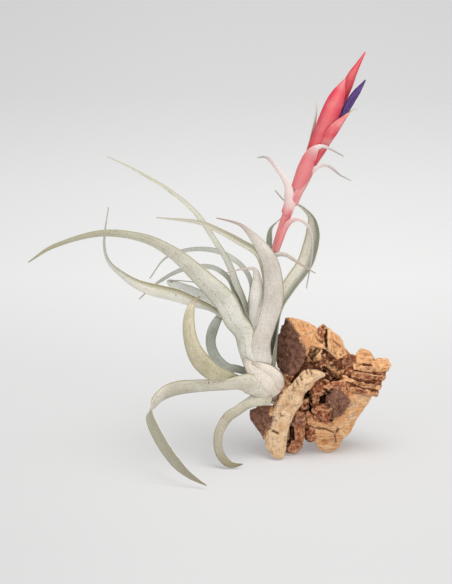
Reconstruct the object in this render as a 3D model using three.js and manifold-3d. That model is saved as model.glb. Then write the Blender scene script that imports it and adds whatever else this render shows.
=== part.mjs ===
// Tillandsia harrisii in flower, an air plant grown on a chunk of cork bark.
// Millimetres, +Z up. The cork stands on z = 0, with the origin on the widest flat of its underside.
import * as THREE from 'three';
import { mergeVertices } from 'three/addons/utils/BufferGeometryUtils.js';
import Module from 'manifold-3d';

const wasm = await Module();
wasm.setup();

// Clearance kept between pieces that press together, and the leaf's own thickness.
const CLEARANCE = 0.3;
const EDGE_THICK = 0.6;
const BLADE_THICK_MIN = 0.8;
const BLADE_THICK_MAX = 1.6;
const THICK_PER_WIDTH = 0.15;
const MIN_RADIUS_PER_THICK = 1.3;
const MIN_INNER_RADIUS = 0.3;

// Leaf sheaths wrap the stem as nested cones: how far round they reach, and how fast they open.
const SHEATH_REACH = THREE.MathUtils.degToRad(66);
const SHEATH_SLOPE = 0.26;
const SHEATH_LENGTH = 14;
const SHEATH_THICK = 0.8;

// A blade is a channel: half the angle of its arc near the stem and at the tip.
const CURL_BASE = THREE.MathUtils.degToRad(48);
const CURL_TIP = THREE.MathUtils.degToRad(24);

// Points across a blade's section, and steps between two stations along it.
const ACROSS = [-1, -0.36, 0.36, 1];
const STEPS = 1.3;

// Points closer together than the first are one; cut edges are cleaned of those that lie closer
// to the surface than the others.
const MERGE_WITHIN = 1e-4;
const CUT_SMOOTHING = 0.1;
const CORK_SMOOTHING = 0.3;

// Stations are laid out on the front of the plant as it is seen from 15 degrees above:
// across to the right, up that view, and depth away from the viewer.
const VIEW_TILT = THREE.MathUtils.degToRad(15);
const TO_VIEWER = new THREE.Vector3(0, -Math.cos(VIEW_TILT), Math.sin(VIEW_TILT));
const UP = new THREE.Vector3(0, 0, 1);

// Where the origin goes on the ground under the cork, measured in the layout above.
const STAND_POINT = new THREE.Vector3(-12, 15, 0);

function place([across, up, depth]) {
  return new THREE.Vector3(across, depth, (up - depth * Math.sin(VIEW_TILT)) / Math.cos(VIEW_TILT));
}

function material(color, roughness) {
  return new THREE.MeshStandardMaterial({ color, roughness, metalness: 0 });
}

const SILVER = material('#d9d5c8', 0.8);
const OLD_WOOD = material('#a08c70', 0.85);
const CORAL = material('#e0706f', 0.5);
const BLUSH = material('#ecc7c0', 0.6);
const VIOLET = material('#4f3688', 0.45);
const CORK = material('#9a6f4e', 0.95);

const pathThrough = (points) => new THREE.CatmullRomCurve3(points.map(place));

// The stem runs up from the cork inside the bulb of sheaths, and the scape goes on from it
// through the spike. The radii are those at the start, at even steps along it and at the end.
const STEM = {
  path: pathThrough([[-15, 38, -3], [-24, 42, -6], [-30, 52, -8], [-32, 66, -8], [-31, 81, -7],
    [-28, 95, -6]]),
  radii: [5.5, 6.5, 6.5, 6, 4.8, 3.2],
  sides: 12,
  steps: 10,
};
const SCAPE = {
  path: pathThrough([[-27.6, 97, -6], [-25, 118, -5], [-21, 142, -4], [-11.4, 169, -4], [-3.8, 188, -5],
    [6.8, 210, -6], [15.4, 228, -6], [23, 245, -6]]),
  radii: [3, 2.6, 2.3, 3.3, 3.4, 4.4, 3.2, 1.2],
  sides: 8,
  steps: 18,
};
// The open flower: petals rolled into a tube that pokes out past the front bract.
const FLOWER = {
  path: pathThrough([[21, 226, -5.4], [26.4, 235.6, -7], [31.6, 244.2, -7.4], [36.6, 251.4, -7.4],
    [41.4, 258.4, -7]]),
  radii: [2, 2.8, 3.1, 2.6, 0.7],
  sides: 8,
  steps: 8,
};

function valueAlong(values, t) {
  const position = t * (values.length - 1);
  const index = Math.min(Math.floor(position), values.length - 2);
  return THREE.MathUtils.lerp(values[index], values[index + 1], position - index);
}

// The direction round a path: 0 right, 90 away from the viewer, 180 left, 270 towards the viewer.
function directionRound(tangent, degrees) {
  const right = new THREE.Vector3(1, 0, 0).addScaledVector(tangent, -tangent.x).normalize();
  const away = new THREE.Vector3().crossVectors(tangent, right);
  const angle = THREE.MathUtils.degToRad(degrees);
  return right.multiplyScalar(Math.cos(angle)).addScaledVector(away, Math.sin(angle));
}

// Triangles of the wall through rings that all have the same number of points.
function wallBetween(rings) {
  const size = rings[0].length;
  const index = [];
  for (let ring = 0; ring < rings.length - 1; ring += 1) {
    for (let i = 0; i < size; i += 1) {
      const a = ring * size + i;
      const b = ring * size + ((i + 1) % size);
      index.push(a, b, b + size, a, b + size, a + size);
    }
  }
  return index;
}

function geometryOf(points, index) {
  const geometry = new THREE.BufferGeometry();
  const positions = points.flatMap((point) => point.toArray());
  geometry.setAttribute('position', new THREE.Float32BufferAttribute(positions, 3));
  geometry.setIndex(index);
  return geometry;
}

// A closed surface through rings. Each ring is two rows, the outer one and the inner one back
// again, so both end caps are strips between the rows.
function stripLoft(rings) {
  const size = rings[0].length;
  const index = wallBetween(rings);
  const last = (rings.length - 1) * size;
  for (let i = 0; i < size / 2 - 1; i += 1) {
    const j = size - 1 - i;
    index.push(i, j, i + 1, i + 1, j, j - 1);
    index.push(last + i, last + i + 1, last + j, last + i + 1, last + j - 1, last + j);
  }
  return geometryOf(rings.flat(), index);
}

// A closed surface through plain rings, each end closed by a fan to the ring's middle.
function fanLoft(rings) {
  const size = rings[0].length;
  const points = rings.flat();
  const index = wallBetween(rings);
  const middleOf = (ring) => ring.reduce((sum, point) => sum.add(point), new THREE.Vector3())
    .divideScalar(size);
  const start = points.push(middleOf(rings[0])) - 1;
  const end = points.push(middleOf(rings.at(-1))) - 1;
  const last = (rings.length - 1) * size;
  for (let i = 0; i < size; i += 1) {
    const next = (i + 1) % size;
    index.push(start, next, i, end, last + i, last + next);
  }
  return geometryOf(points, index);
}

// Solids that cut and are cut.
function toSolid(geometry) {
  const merged = mergeVertices(geometry, MERGE_WITHIN);
  const mesh = new wasm.Mesh({
    numProp: 3,
    vertProperties: Float32Array.from(merged.getAttribute('position').array),
    triVerts: Uint32Array.from(merged.getIndex().array),
  });
  return new wasm.Manifold(mesh);
}

function toGeometry(solid) {
  const mesh = solid.getMesh();
  const geometry = new THREE.BufferGeometry();
  geometry.setAttribute('position', new THREE.BufferAttribute(mesh.vertProperties, 3));
  geometry.setIndex(new THREE.BufferAttribute(mesh.triVerts, 1));
  geometry.computeVertexNormals();
  return geometry;
}

function largestBody(solid, smoothing = CUT_SMOOTHING) {
  const bodies = solid.simplify(smoothing).decompose();
  return bodies.reduce((best, body) => (body.volume() > best.volume() ? body : best));
}

// One section of a channelled blade: outer row from edge to edge, then the inner row back.
// A grown section lies outside the plain one by the same amount all round.
function bladeRing(centre, tangent, facing, width, curl, thick, grow) {
  const tightest = Math.asin(Math.min(1, width / (2 * MIN_RADIUS_PER_THICK * thick)));
  const safeCurl = Math.min(curl, tightest);
  const radius = width / 2 / Math.sin(safeCurl);
  const side = new THREE.Vector3().crossVectors(facing, tangent).normalize();
  const inward = new THREE.Vector3().crossVectors(tangent, side).normalize();
  const row = (radiusAt) => ACROSS.map((s) => {
    const angle = safeCurl * s;
    const past = Math.abs(s) === 1 ? s * grow : 0;
    const reach = Math.max(radiusAt(s), MIN_INNER_RADIUS);
    return centre.clone()
      .addScaledVector(side, reach * Math.sin(angle) + past * Math.cos(angle))
      .addScaledVector(inward, radius - reach * Math.cos(angle) + past * Math.sin(angle));
  });
  const outer = row(() => radius + grow);
  const inner = row((s) => radius - grow - EDGE_THICK - (thick - EDGE_THICK) * (1 - s * s));
  return [...outer, ...inner.reverse()];
}

// The stations of the sheath, where a leaf or bract clasps the stem or the scape. A leaf whose
// sheath has no length begins at its first station instead.
function sheathStations({ path, radii }, leaf) {
  const {
    seat, side, reach = SHEATH_REACH, sheath = SHEATH_LENGTH, slope = SHEATH_SLOPE, stand = 0,
  } = leaf;
  if (!sheath) return [];
  const length = path.getLength();
  const seatRadius = valueAlong(radii, seat / length) + CLEARANCE + SHEATH_THICK + stand;
  return [0, 0.5, 1].map((part) => {
    const at = (seat + part * sheath) / length;
    const tangent = path.getTangentAt(at);
    const out = directionRound(tangent, side);
    const radius = seatRadius + slope * part * sheath;
    return {
      centre: path.getPointAt(at).addScaledVector(out, radius),
      facing: out.clone().negate(),
      shape: new THREE.Vector3(2 * radius * Math.sin(reach), reach, SHEATH_THICK),
    };
  });
}

// Blade stations hold across, up, depth, width and roll. The roll turns the blade's upper face
// from the viewer's side: at 0 the channel is seen, at 180 the underside, and at 90 on a leaf
// that points left, or -90 on one that points right, it faces up.
function bladeSolid(stalk, leaf, grow = 0) {
  const clasp = sheathStations(stalk, leaf);
  const count = leaf.stations.length;
  const centres = [...clasp.map((one) => one.centre), ...leaf.stations.map(place)];
  const centreCurve = new THREE.CatmullRomCurve3(centres);
  const total = centres.length - 1;
  const blade = leaf.stations.map(([, , , width, roll], i) => {
    const tangent = centreCurve.getTangent((i + clasp.length) / total);
    const reference = roll === undefined ? UP : TO_VIEWER;
    const front = reference.clone().addScaledVector(tangent, -tangent.dot(reference)).normalize();
    const across = new THREE.Vector3().crossVectors(tangent, front);
    const angle = THREE.MathUtils.degToRad(roll ?? 0);
    const facing = front.multiplyScalar(Math.cos(angle)).addScaledVector(across, Math.sin(angle));
    const curl = THREE.MathUtils.lerp(leaf.curl ?? CURL_BASE, CURL_TIP, i / (count - 1));
    const thick = THREE.MathUtils.clamp(width * THICK_PER_WIDTH, BLADE_THICK_MIN, BLADE_THICK_MAX);
    return { facing, shape: new THREE.Vector3(width, curl, thick) };
  });
  const stations = [...clasp, ...blade];
  const facingCurve = new THREE.CatmullRomCurve3(stations.map((one) => one.facing));
  const shapeCurve = new THREE.CatmullRomCurve3(stations.map((one) => one.shape));
  const rings = [];
  const samples = Math.round(total * STEPS);
  for (let i = 0; i <= samples; i += 1) {
    const t = i / samples;
    const tangent = centreCurve.getTangent(t);
    const centre = centreCurve.getPoint(t);
    if (i === 0) centre.addScaledVector(tangent, -grow);
    if (i === samples) centre.addScaledVector(tangent, grow);
    const shape = shapeCurve.getPoint(t);
    rings.push(bladeRing(centre, tangent, facingCurve.getPoint(t), shape.x, shape.y, shape.z, grow));
  }
  return toSolid(stripLoft(rings));
}

// A round stalk along a path.
function stalkSolid({ path, radii, sides, steps }, grow = 0) {
  const rings = [];
  for (let i = 0; i <= steps; i += 1) {
    const t = i / steps;
    const tangent = path.getTangentAt(t);
    const radius = valueAlong(radii, t) + grow;
    const ring = [];
    for (let k = 0; k < sides; k += 1) {
      const out = directionRound(tangent, (360 * k) / sides);
      ring.push(path.getPointAt(t).addScaledVector(out, radius));
    }
    rings.push(ring);
  }
  return toSolid(stripLoft(rings));
}

// Leaves, from the lowest and outermost to the innermost. seat is the height along the stem,
// side the direction round it, stand how far the sheath stands off, and slope how fast it opens.
const LEAVES = [
  // Droops in front of the cork and sweeps the ground.
  { sheath: 0, stations: [[-23, 36, -16.6, 9, 180], [-31, 37, -20.6, 11, 180],
    [-37.5, 34.5, -22.6, 8.6, 172], [-41.6, 32.2, -23.4, 7.4, 165], [-46.4, 28.7, -25, 7.4, 160],
    [-53.2, 24.3, -29, 8, 157], [-59.4, 14.4, -35, 7.4, 155], [-60.6, 7, -38.5, 6.8, 155],
    [-59.2, -0.9, -42, 7, 155], [-54.7, -7, -45.5, 6.4, 155], [-50.3, -9, -46, 4.4, 155],
    [-43.5, -8.4, -45, 0.9, 150]] },
  // Hangs out of sight behind the cork.
  { seat: 4, side: 60, stations: [[-29, 62, 24, 9], [-21, 65, 40, 9], [-10, 62, 54, 8],
    [2, 55, 68, 6.5], [12, 44, 80, 4], [20, 30, 88, 1]] },
  // Runs left, twists over and comes down towards the viewer.
  { sheath: 0, curl: 0.75, stations: [[-24.6, 38.6, -18.4, 8, 180], [-32, 42.8, -22.8, 12, 178],
    [-39.2, 47, -25.4, 15, 172], [-46.4, 47.6, -25.4, 10.6, 165], [-54, 46.6, -24, 9, 162],
    [-65, 46, -24.4, 9, 160], [-77, 45.2, -28.4, 10, 158], [-88.9, 43.6, -35.4, 11.4, 152],
    [-98.6, 40, -43.4, 11, 145], [-104.6, 33.8, -51, 9, 128], [-107.4, 25.9, -58.6, 9, 58],
    [-104.3, 17, -65.6, 10, 40], [-98, 5.4, -74, 10.2, 38], [-89.4, -6.3, -82.4, 9.6, 38],
    [-79.9, -15.4, -90, 6.2, 40], [-68.3, -22.5, -97, 1.4, 45]] },
  // The broad front leaf of the column, its tip folded over to the left.
  { seat: 10, side: 290, reach: 0.98, slope: 0.05, stand: 2.2, stations: [[-31.6, 73, -19.4, 15, 180],
    [-28, 86, -18.6, 13.4, 180], [-23, 103, -18, 15, 180], [-22.4, 118, -18, 14, 180],
    [-25, 132.2, -19, 12.2, 180], [-32.4, 144.6, -20, 8.4, 175], [-39, 152.4, -21, 4.8, 170],
    [-45.2, 157.8, -21, 2.6, 165], [-53, 160.6, -20.6, 1.7, 162], [-62, 162.6, -20, 0.9, 160]] },
  // Curls up like a hook on the left, its underside showing.
  { seat: 6, side: 178, sheath: 8, curl: 0.95, stations: [[-40.6, 45, -11.4, 8.4, 105],
    [-47.7, 48.8, -16, 8.8, 135], [-55.7, 50.6, -24, 11.6, 155], [-64.5, 54.4, -31, 13.6, 160],
    [-72.5, 61.6, -34, 14.2, 160], [-77.2, 68.7, -35, 13, 158], [-80.5, 78.1, -34, 11, 157],
    [-81.8, 87.5, -31, 9.8, 155], [-81.4, 95.6, -27, 8.4, 152], [-80, 101.6, -22, 6.4, 148],
    [-77.4, 106, -16, 3.4, 140], [-73, 108.6, -11, 0.9, 130]] },
  // Straight back and out of sight.
  { seat: 14, side: 90, stations: [[-27, 92, 14, 9], [-24, 108, 24, 9], [-22, 119, 38, 8],
    [-22, 124, 56, 6], [-23, 122, 73, 4], [-24, 116, 86, 1]] },
  // The long front arch to the left.
  { seat: 18, side: 232, stations: [[-42.4, 81.2, -17.2, 15, 172], [-48.8, 90, -20, 15.6, 170],
    [-56, 103.6, -25, 16.6, 165], [-75, 123, -31, 13.4, 160], [-91, 137, -36, 10.2, 155],
    [-111, 147.6, -40, 7.4, 150], [-141, 151.6, -44, 5.6, 145], [-176, 142, -46, 3.6, 140],
    [-192.5, 131.6, -46, 1, 140]] },
  // The small grey hook inside the last one.
  { seat: 16, side: 176, sheath: 8, stations: [[-46.9, 56.7, -9, 6.6, 150], [-53.9, 57.7, -8, 7.4, 152],
    [-60.3, 62.2, -5, 7.8, 155], [-64.8, 69, -2, 7.8, 155], [-66.6, 76.6, 1, 7.8, 155],
    [-65.4, 84, 4, 8.2, 155], [-62, 91.5, 8, 7, 155], [-57.5, 97.5, 12, 3.8, 150],
    [-54, 103, 15, 0.9, 150]] },
  // Right and behind, rising past the scape.
  { seat: 17, side: 20, curl: 1, stations: [[-20, 97, 7, 12, -30], [-11, 114, 17, 12, -25],
    [0.6, 131, 26, 12.6, -20], [4.6, 143.5, 29, 12.2, -18], [6.4, 155, 29, 10.6, -25],
    [4.8, 164, 26, 6.4, -45], [-5.6, 173, 18, 2.4, -60], [-14, 175, 14, 1.5, -70],
    [-21, 182.6, 12, 0.9, -80]] },
  // Left, then turned up at the end.
  { seat: 24, side: 184, curl: 0.95, stations: [[-52, 86, -3, 9, 90], [-64.4, 97, -3, 10.6, 105],
    [-78.6, 102.6, -2, 12, 130], [-91, 107.2, -1, 13, 135], [-106.4, 111.4, -2, 12, 138],
    [-118, 116, -3, 9.2, 138], [-128.6, 123.2, -4, 6.4, 135], [-136.4, 130.6, -4, 4.6, 130],
    [-139.8, 138.6, -5, 3.4, 125], [-140.4, 147.8, -5, 2.8, 120], [-137.2, 170.8, -5, 0.9, 110]] },
  // Back and to the right, behind the last right one.
  { seat: 22, side: 62, stations: [[-22, 98, 14, 8], [-15, 107, 28, 8], [-8, 117, 44, 7.4],
    [0, 128, 60, 6], [4, 138, 74, 4], [5, 146, 86, 1]] },
  // Back-left, foreshortened, its tip turned back.
  { seat: 30, side: 150, stations: [[-56, 94, 10, 9, 40], [-68, 104.6, 18, 9.6, 30],
    [-80, 110.6, 28, 9.4, 25], [-89.6, 114.6, 37, 8, 25], [-95.6, 117.4, 42, 5.4, 40],
    [-91, 119.6, 46, 3.4, 75], [-77, 118.6, 47, 0.9, 90]] },
  // Back-left, low and long, hidden behind the front arch.
  { seat: 28, side: 105, stations: [[-40, 88, 8, 8], [-50, 98, 22, 8], [-60, 107, 38, 7.4],
    [-73, 120, 56, 6], [-85, 130, 70, 4], [-95, 137, 82, 1]] },
  // Left, thin, drooping at the end.
  { seat: 36, side: 184, sheath: 12, stations: [[-43.5, 97, 4, 6, 60], [-50, 110, 6, 5.4, 50],
    [-53, 119, 9, 4.8, 40], [-61, 126.4, 14, 4.4, 35], [-70, 128.8, 19, 4.2, 35],
    [-87.5, 126, 25, 3.8, 35], [-105.7, 115.5, 29, 2.4, 40], [-116, 106, 30, 0.9, 50]] },
  // Small inner leaf with a thread tip.
  { seat: 29, side: 250, stations: [[-35, 92, -10.5, 9.6, 180], [-34.4, 106, -11.5, 10.4, 180],
    [-33.6, 119, -12.4, 7, 180], [-35.4, 127, -13, 3.2, 175], [-43, 127.4, -13.5, 1.7, 170],
    [-55, 124.6, -14, 0.8, 170]] },
  // Left and back, a thread at its end.
  { seat: 39, side: 150, sheath: 12, stations: [[-39.6, 103, 5, 6.6, 60], [-38.4, 116, 7.4, 6, 60],
    [-43, 127, 12, 5, 45], [-54, 136, 22, 4.8, 35], [-66, 140.4, 31, 4.4, 35], [-84, 140, 40, 3.6, 35],
    [-98, 134.4, 45, 2, 50], [-108.5, 120.4, 46, 0.8, 60]] },
  // Up to the left, a long straight taper.
  { seat: 44, side: 176, sheath: 10, stations: [[-44, 104, 1, 7.6, 60], [-49, 116, 4, 7.6, 50],
    [-55, 132, 10, 7, 50], [-64, 147, 18, 6.2, 50], [-76, 165, 27, 5.4, 50], [-94, 181, 36, 4.4, 55],
    [-120, 196.6, 43, 3, 60], [-138.6, 205.8, 46, 0.9, 60]] },
  // Inner leaf bent over to the left, its channel showing.
  { seat: 48, side: 110, sheath: 10, curl: 0.95, stations: [[-28.6, 112, 2, 6.4, 40],
    [-29.4, 126, 4, 6.4, 35], [-34, 138, 5.4, 6, 30], [-47, 146.4, 7, 5.8, 32],
    [-60, 153.4, 8.4, 5.2, 36], [-73, 159, 9.4, 4.4, 42], [-104, 163, 11, 0.9, 55]] },
  // The small one tucked behind the scape.
  { seat: 50, side: 40, sheath: 10, stations: [[-25.6, 124, 2, 5, -10], [-24.8, 140, 3, 4.8, -20],
    [-24.6, 149, 4, 5, -30], [-23.6, 155, 5, 3.8, -50], [-20, 159.4, 6, 1.8, -70],
    [-14.6, 163.8, 7, 0.8, -80]] },
  // The thin pale one that lies out to the right.
  { seat: 45, side: 275, sheath: 10, slope: 0.1, stations: [[-25.6, 116, -10, 5, 180],
    [-24.6, 130, -10.5, 4.6, 180], [-20.6, 136.6, -11, 4.2, -155], [-14.6, 137, -12, 3.6, -145],
    [-7, 132.6, -13, 2.8, -140], [7, 124, -15, 0.9, -130]] },
];

// Sheaths of lost leaves that fill out the bulb.
const BULB_SHEATHS = [
  // The broad old one in the middle of the bulb, its dry tip at the upper left.
  { sheath: 0, curl: 1.2, stations: [[-20.5, 38.5, -14.4, 11, 180], [-24.4, 43, -19.2, 14.4, 180],
    [-29.4, 49.6, -22.2, 15.4, 180], [-35.6, 56.2, -21.8, 12.6, 178], [-40.4, 61.8, -19.6, 6.6, 175],
    [-43, 65.4, -17.6, 1.6, 170]] },
  // A collar inside it, round the foot of the column.
  { sheath: 0, curl: 1.1, stations: [[-18.6, 42.4, -13, 10, 180], [-20.4, 49.6, -17.4, 13, 180],
    [-25.4, 55.6, -20, 11, 180], [-31.5, 59.4, -20.8, 7, 178], [-37.6, 62, -20.2, 2, 176]] },
];

// Bracts that clasp the bare part of the scape.
const SCAPE_BRACTS = [
  { seat: 44, side: 300, sheath: 3, slope: 0.1, stations: [[-14, 155.2, -8.4, 4.8, -155],
    [-10.4, 159.8, -9.4, 4.4, -145], [-6.1, 161.5, -10, 4, -140], [-2.2, 160.3, -10.4, 3.6, -135],
    [1.2, 157.2, -10.8, 3.1, -130], [3.2, 152.4, -11.4, 2.6, -125], [4.4, 142, -12.4, 2.2, -120],
    [2.8, 128, -13.4, 1.8, -120], [0.2, 113.6, -14, 0.8, -110]] },
  { seat: 72, side: 240, sheath: 8, slope: 0.08, stations: [[-12, 183, -9.4, 6, 168],
    [-15, 189.6, -9.8, 4.4, 158], [-19.4, 195.8, -10, 3.7, 148], [-23.8, 201.4, -10, 3.4, 142],
    [-26.8, 204.4, -10, 2.8, 138], [-30.1, 205, -10, 2, 130], [-33.8, 204.2, -10, 0.8, 120]] },
  { seat: 80, side: 320, sheath: 8, slope: 0.06, stations: [[1.8, 190, -9, 5.2, -152],
    [5.6, 195.6, -9.6, 4, -145], [9.8, 198.4, -10, 3.6, -138], [14, 199, -10.2, 3.3, -135],
    [18.4, 196.8, -10.4, 2.8, -130], [23.4, 192.6, -10.4, 2, -120], [31.8, 188.2, -10.4, 0.8, -110]] },
  { seat: 92, side: 262, sheath: 14, reach: 1.45, slope: 0.12, stations: [[2.6, 204.4, -12, 9.8, 180],
    [5.6, 209.4, -13.6, 6.6, 180], [8.4, 211.8, -14.4, 3.8, -175], [11.9, 212.3, -14.6, 2.8, -160],
    [16.8, 210.4, -14.4, 2.1, -145], [21.7, 207.8, -14.2, 1.5, -130], [26.8, 205, -13.6, 0.8, -120]] },
];

// Bracts of the spike, from the front one in. One holds the open flower.
const FLORAL_BRACTS = [
  { seat: 110, side: 258, sheath: 3, slope: 0.1, curl: 1.25, stations: [[9.8, 218, -12.2, 11.6, 180],
    [13.4, 227, -13, 12.8, 180], [17.2, 235.6, -13.4, 13.4, 180], [20.6, 243.8, -12.8, 12.4, 178],
    [23.2, 250.2, -11.6, 9.2, 175], [25.2, 255, -10.4, 4.6, 172], [27.4, 259.2, -9.2, 0.9, 170]] },
  { seat: 106, side: 320, sheath: 3, slope: 0.1, curl: 0.75, stations: [[12.2, 212, -11.4, 8.6, -160],
    [17.4, 220.6, -14, 9, -160], [22.8, 227.4, -13.6, 7, -158], [27.5, 232.4, -10.6, 3.6, -150],
    [31.2, 236.2, -7, 1.9, -130], [34, 238.2, -5.4, 1.3, -120], [35.6, 237.6, -4.4, 0.8, -110]] },
  { seat: 122, side: 290, sheath: 3, slope: 0.15, curl: 1.2, stations: [[20.6, 238, -4, 8, 178],
    [24.6, 246, -4.6, 8.4, 178], [28.8, 254.6, -5, 7.8, 178], [32.2, 262.2, -5, 6.1, 175],
    [36, 268.8, -5, 3.7, 172], [38.8, 273.6, -4.6, 2.3, 170], [41.4, 278, -4, 0.9, 170]] },
  { seat: 103, side: 195, sheath: 4, slope: 0.1, stations: [[3, 215, -5, 5.2, 45],
    [4.8, 223.6, -5, 3.4, 40], [6.4, 231, -5, 2.3, 40], [7.3, 237.4, -4.6, 1.5, 40],
    [7, 243.8, -4, 0.8, 40]] },
  { seat: 108, side: 95, sheath: 4, slope: 0.1, curl: 1.1, stations: [[11, 219.6, 0.2, 9.6, 0],
    [14.6, 229, 0.6, 11, 0], [19, 239, 0.2, 10, 0], [23.4, 248.6, -0.8, 6, 0],
    [27, 256.6, -2, 1.2, 0]] },
];

// Cork: lumps laid out as outlines on the same front view, each bulging between two depths and
// roughened by a sum of waves, then joined.
const LUMP_RINGS = [[0.5, 0], [0.94, 0.1], [1, 0.34], [1, 0.66], [0.94, 0.9], [0.5, 1]];
const LUMP_TENSION = 0.2;
const LUMP_POINTS_MIN = 14;
const LUMP_POINTS_PER_CORNER = 1.5;
const ROUGHNESS = 1.3;
const GROUND_REACH = 400;
const GROUND_DEPTH = 40;

const CORK_LUMPS = [
  // The bark plate at the top left.
  { front: -6, back: 22, outline: [[-12.6, 94], [-16.4, 87], [-23, 73], [-21, 58], [-14, 53],
    [-4, 58], [1, 70], [-4, 86]] },
  // The cut face beside it and the crown behind.
  { front: 0, back: 34, outline: [[-12, 93], [-2.8, 91.4], [5, 86.6], [12.6, 89], [19, 84.6],
    [25, 79], [29, 70], [30, 50], [4, 44], [-12, 54]] },
  // The layers at the right.
  { front: -8, back: 27, outline: [[22, 76], [28, 72.6], [34.6, 67], [40, 71.6], [44, 69.6],
    [49, 63], [55, 63.2], [59, 60], [56, 52], [52, 45], [50, 39.6], [45, 36], [40, 29.6], [24, 36],
    [14, 52]] },
  // The pale ridge that slants down to the left foot.
  { front: -27, back: 4, outline: [[6, 66.5], [13.4, 61], [9, 53], [0, 43], [-9, 32], [-12, 18],
    [-12.6, 3], [-16, -5.6], [-21, -6.2], [-26.6, 1], [-29, 14], [-28, 27], [-19, 40], [-8, 54]] },
  // The dark lobe at the lower left.
  { front: -13, back: 14, outline: [[-30.5, 33.4], [-38.6, 28.6], [-39, 20], [-31, 10.4], [-22, 9],
    [-18, 24], [-22, 34]] },
  // The mass in the middle that all of it stands on.
  { front: -12, back: 30, outline: [[-25, 38], [-17, 52], [-8, 58], [20, 58], [40, 46], [42, 31],
    [36.6, 26], [32.4, 17], [28.6, 10.4], [22, 8], [0, 9], [-4, 2.6], [-12, -1], [-22, 4]] },
  // The smooth lobe at the bottom.
  { front: -8, back: 24, outline: [[6, 3.2], [13.4, -0.4], [20, 1], [25, 6.4], [26, 14], [16, 18],
    [5, 14]] },
  // The knob and the broken corner in front of it.
  { front: -19, back: 0, outline: [[15, 34], [19, 41.4], [26, 41], [30, 34], [27.6, 26.4],
    [20, 24.4]] },
  { front: -17, back: 0, outline: [[7.6, 31], [13, 33], [18, 29], [17, 22.4], [9, 22]] },
];

// Crevices cut back into it, to a depth each.
const CORK_CREVICES = [
  { front: -40, back: 4, outline: [[2.6, 64], [7, 70], [16, 67], [15, 57], [11, 49], [7, 52]] },
  { front: -40, back: -3, outline: [[6, 45], [14, 49], [18, 43], [13, 36.4], [6, 37]] },
  { front: -40, back: 34, outline: [[-1.4, 9.6], [1.2, 9.4], [3, -9], [-3.4, -9]] },
];

function roughness(x, y, z) {
  return Math.sin(0.31 * x + 0.17 * z + 1.3) * Math.cos(0.27 * y - 0.19 * z)
    + 0.6 * Math.sin(0.71 * z - 0.4 * x + 0.5) * Math.cos(0.53 * y + 0.3 * x + 2.1)
    + 0.4 * Math.cos(1.13 * x + 0.9 * y) * Math.sin(1.21 * z + 0.7);
}

function lumpSolid({ front, back, outline }) {
  const corners = outline.map(([across, up]) => new THREE.Vector3(across, up, 0));
  if (!THREE.ShapeUtils.isClockWise(corners)) corners.reverse();
  const edge = new THREE.CatmullRomCurve3(corners, true, 'catmullrom', LUMP_TENSION);
  const middle = new THREE.Vector3();
  corners.forEach((corner) => middle.add(corner));
  middle.divideScalar(corners.length);
  const points = Math.max(LUMP_POINTS_MIN, Math.round(outline.length * LUMP_POINTS_PER_CORNER));
  const rings = LUMP_RINGS.map(([scale, part]) => {
    const ring = [];
    for (let k = 0; k < points; k += 1) {
      const flat = middle.clone().lerp(edge.getPoint(k / points), scale);
      const point = place([flat.x, flat.y, THREE.MathUtils.lerp(front, back, part)]);
      const lift = ROUGHNESS * roughness(point.x, point.y, point.z);
      const out = edge.getPoint(k / points).sub(middle).normalize();
      ring.push(point.add(new THREE.Vector3(out.x * lift, (part < 0.5 ? -1 : 1) * lift, out.y * lift)));
    }
    return ring;
  });
  return toSolid(fanLoft(rings));
}

const plant = new THREE.Group();
plant.position.copy(STAND_POINT).negate();

function addPiece(name, solid, finish) {
  const mesh = new THREE.Mesh(toGeometry(solid), finish);
  mesh.name = name;
  plant.add(mesh);
}

// Pieces are placed in turn. A later one gives way, by the clearance, to those already there.
const grownNeighbours = [];

function settle(solid, grown) {
  const free = grownNeighbours.reduce((rest, other) => rest.subtract(other), solid);
  grownNeighbours.push(grown);
  return largestBody(free);
}

function addStalk(name, stalk, finish) {
  addPiece(name, settle(stalkSolid(stalk), stalkSolid(stalk, CLEARANCE)), finish);
}

function addBlade(name, stalk, blade, finish) {
  addPiece(name, settle(bladeSolid(stalk, blade), bladeSolid(stalk, blade, CLEARANCE)), finish);
}

addStalk('stem', STEM, OLD_WOOD);
addStalk('scape', SCAPE, CORAL);
LEAVES.forEach((leaf, i) => addBlade(`leaf_${String(i + 1).padStart(2, '0')}`, STEM, leaf, SILVER));
BULB_SHEATHS.forEach((sheath, i) => addBlade(`bulb_sheath_${i + 1}`, STEM, sheath, SILVER));
addStalk('flower', FLOWER, VIOLET);
FLORAL_BRACTS.forEach((bract, i) => addBlade(`floral_bract_${i + 1}`, SCAPE, bract, CORAL));
SCAPE_BRACTS.forEach((bract, i) => addBlade(`scape_bract_${i + 1}`, SCAPE, bract, BLUSH));

// The cork is joined from its lumps, hollowed where the bulb is fixed, and stands flat on the ground.
function groundSlab() {
  const slab = new THREE.BoxGeometry(GROUND_REACH, GROUND_REACH, GROUND_DEPTH);
  slab.deleteAttribute('normal');
  slab.deleteAttribute('uv');
  return toSolid(slab.translate(0, 0, -GROUND_DEPTH / 2));
}

const lumps = CORK_LUMPS.map(lumpSolid).reduce((joined, lump) => joined.add(lump));
const creviced = CORK_CREVICES.map(lumpSolid).reduce((rest, cut) => rest.subtract(cut), lumps);
const hollowed = grownNeighbours.reduce((rest, other) => rest.subtract(other), creviced);
addPiece('cork_bark', largestBody(hollowed.subtract(groundSlab()), CORK_SMOOTHING), CORK);

export default plant;
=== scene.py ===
"""Air plant in flower on a chunk of cork bark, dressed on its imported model. Lengths are in metres."""

import math
import random

import bpy
from mathutils import Matrix, Vector, noise
from mathutils.bvhtree import BVHTree


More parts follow.
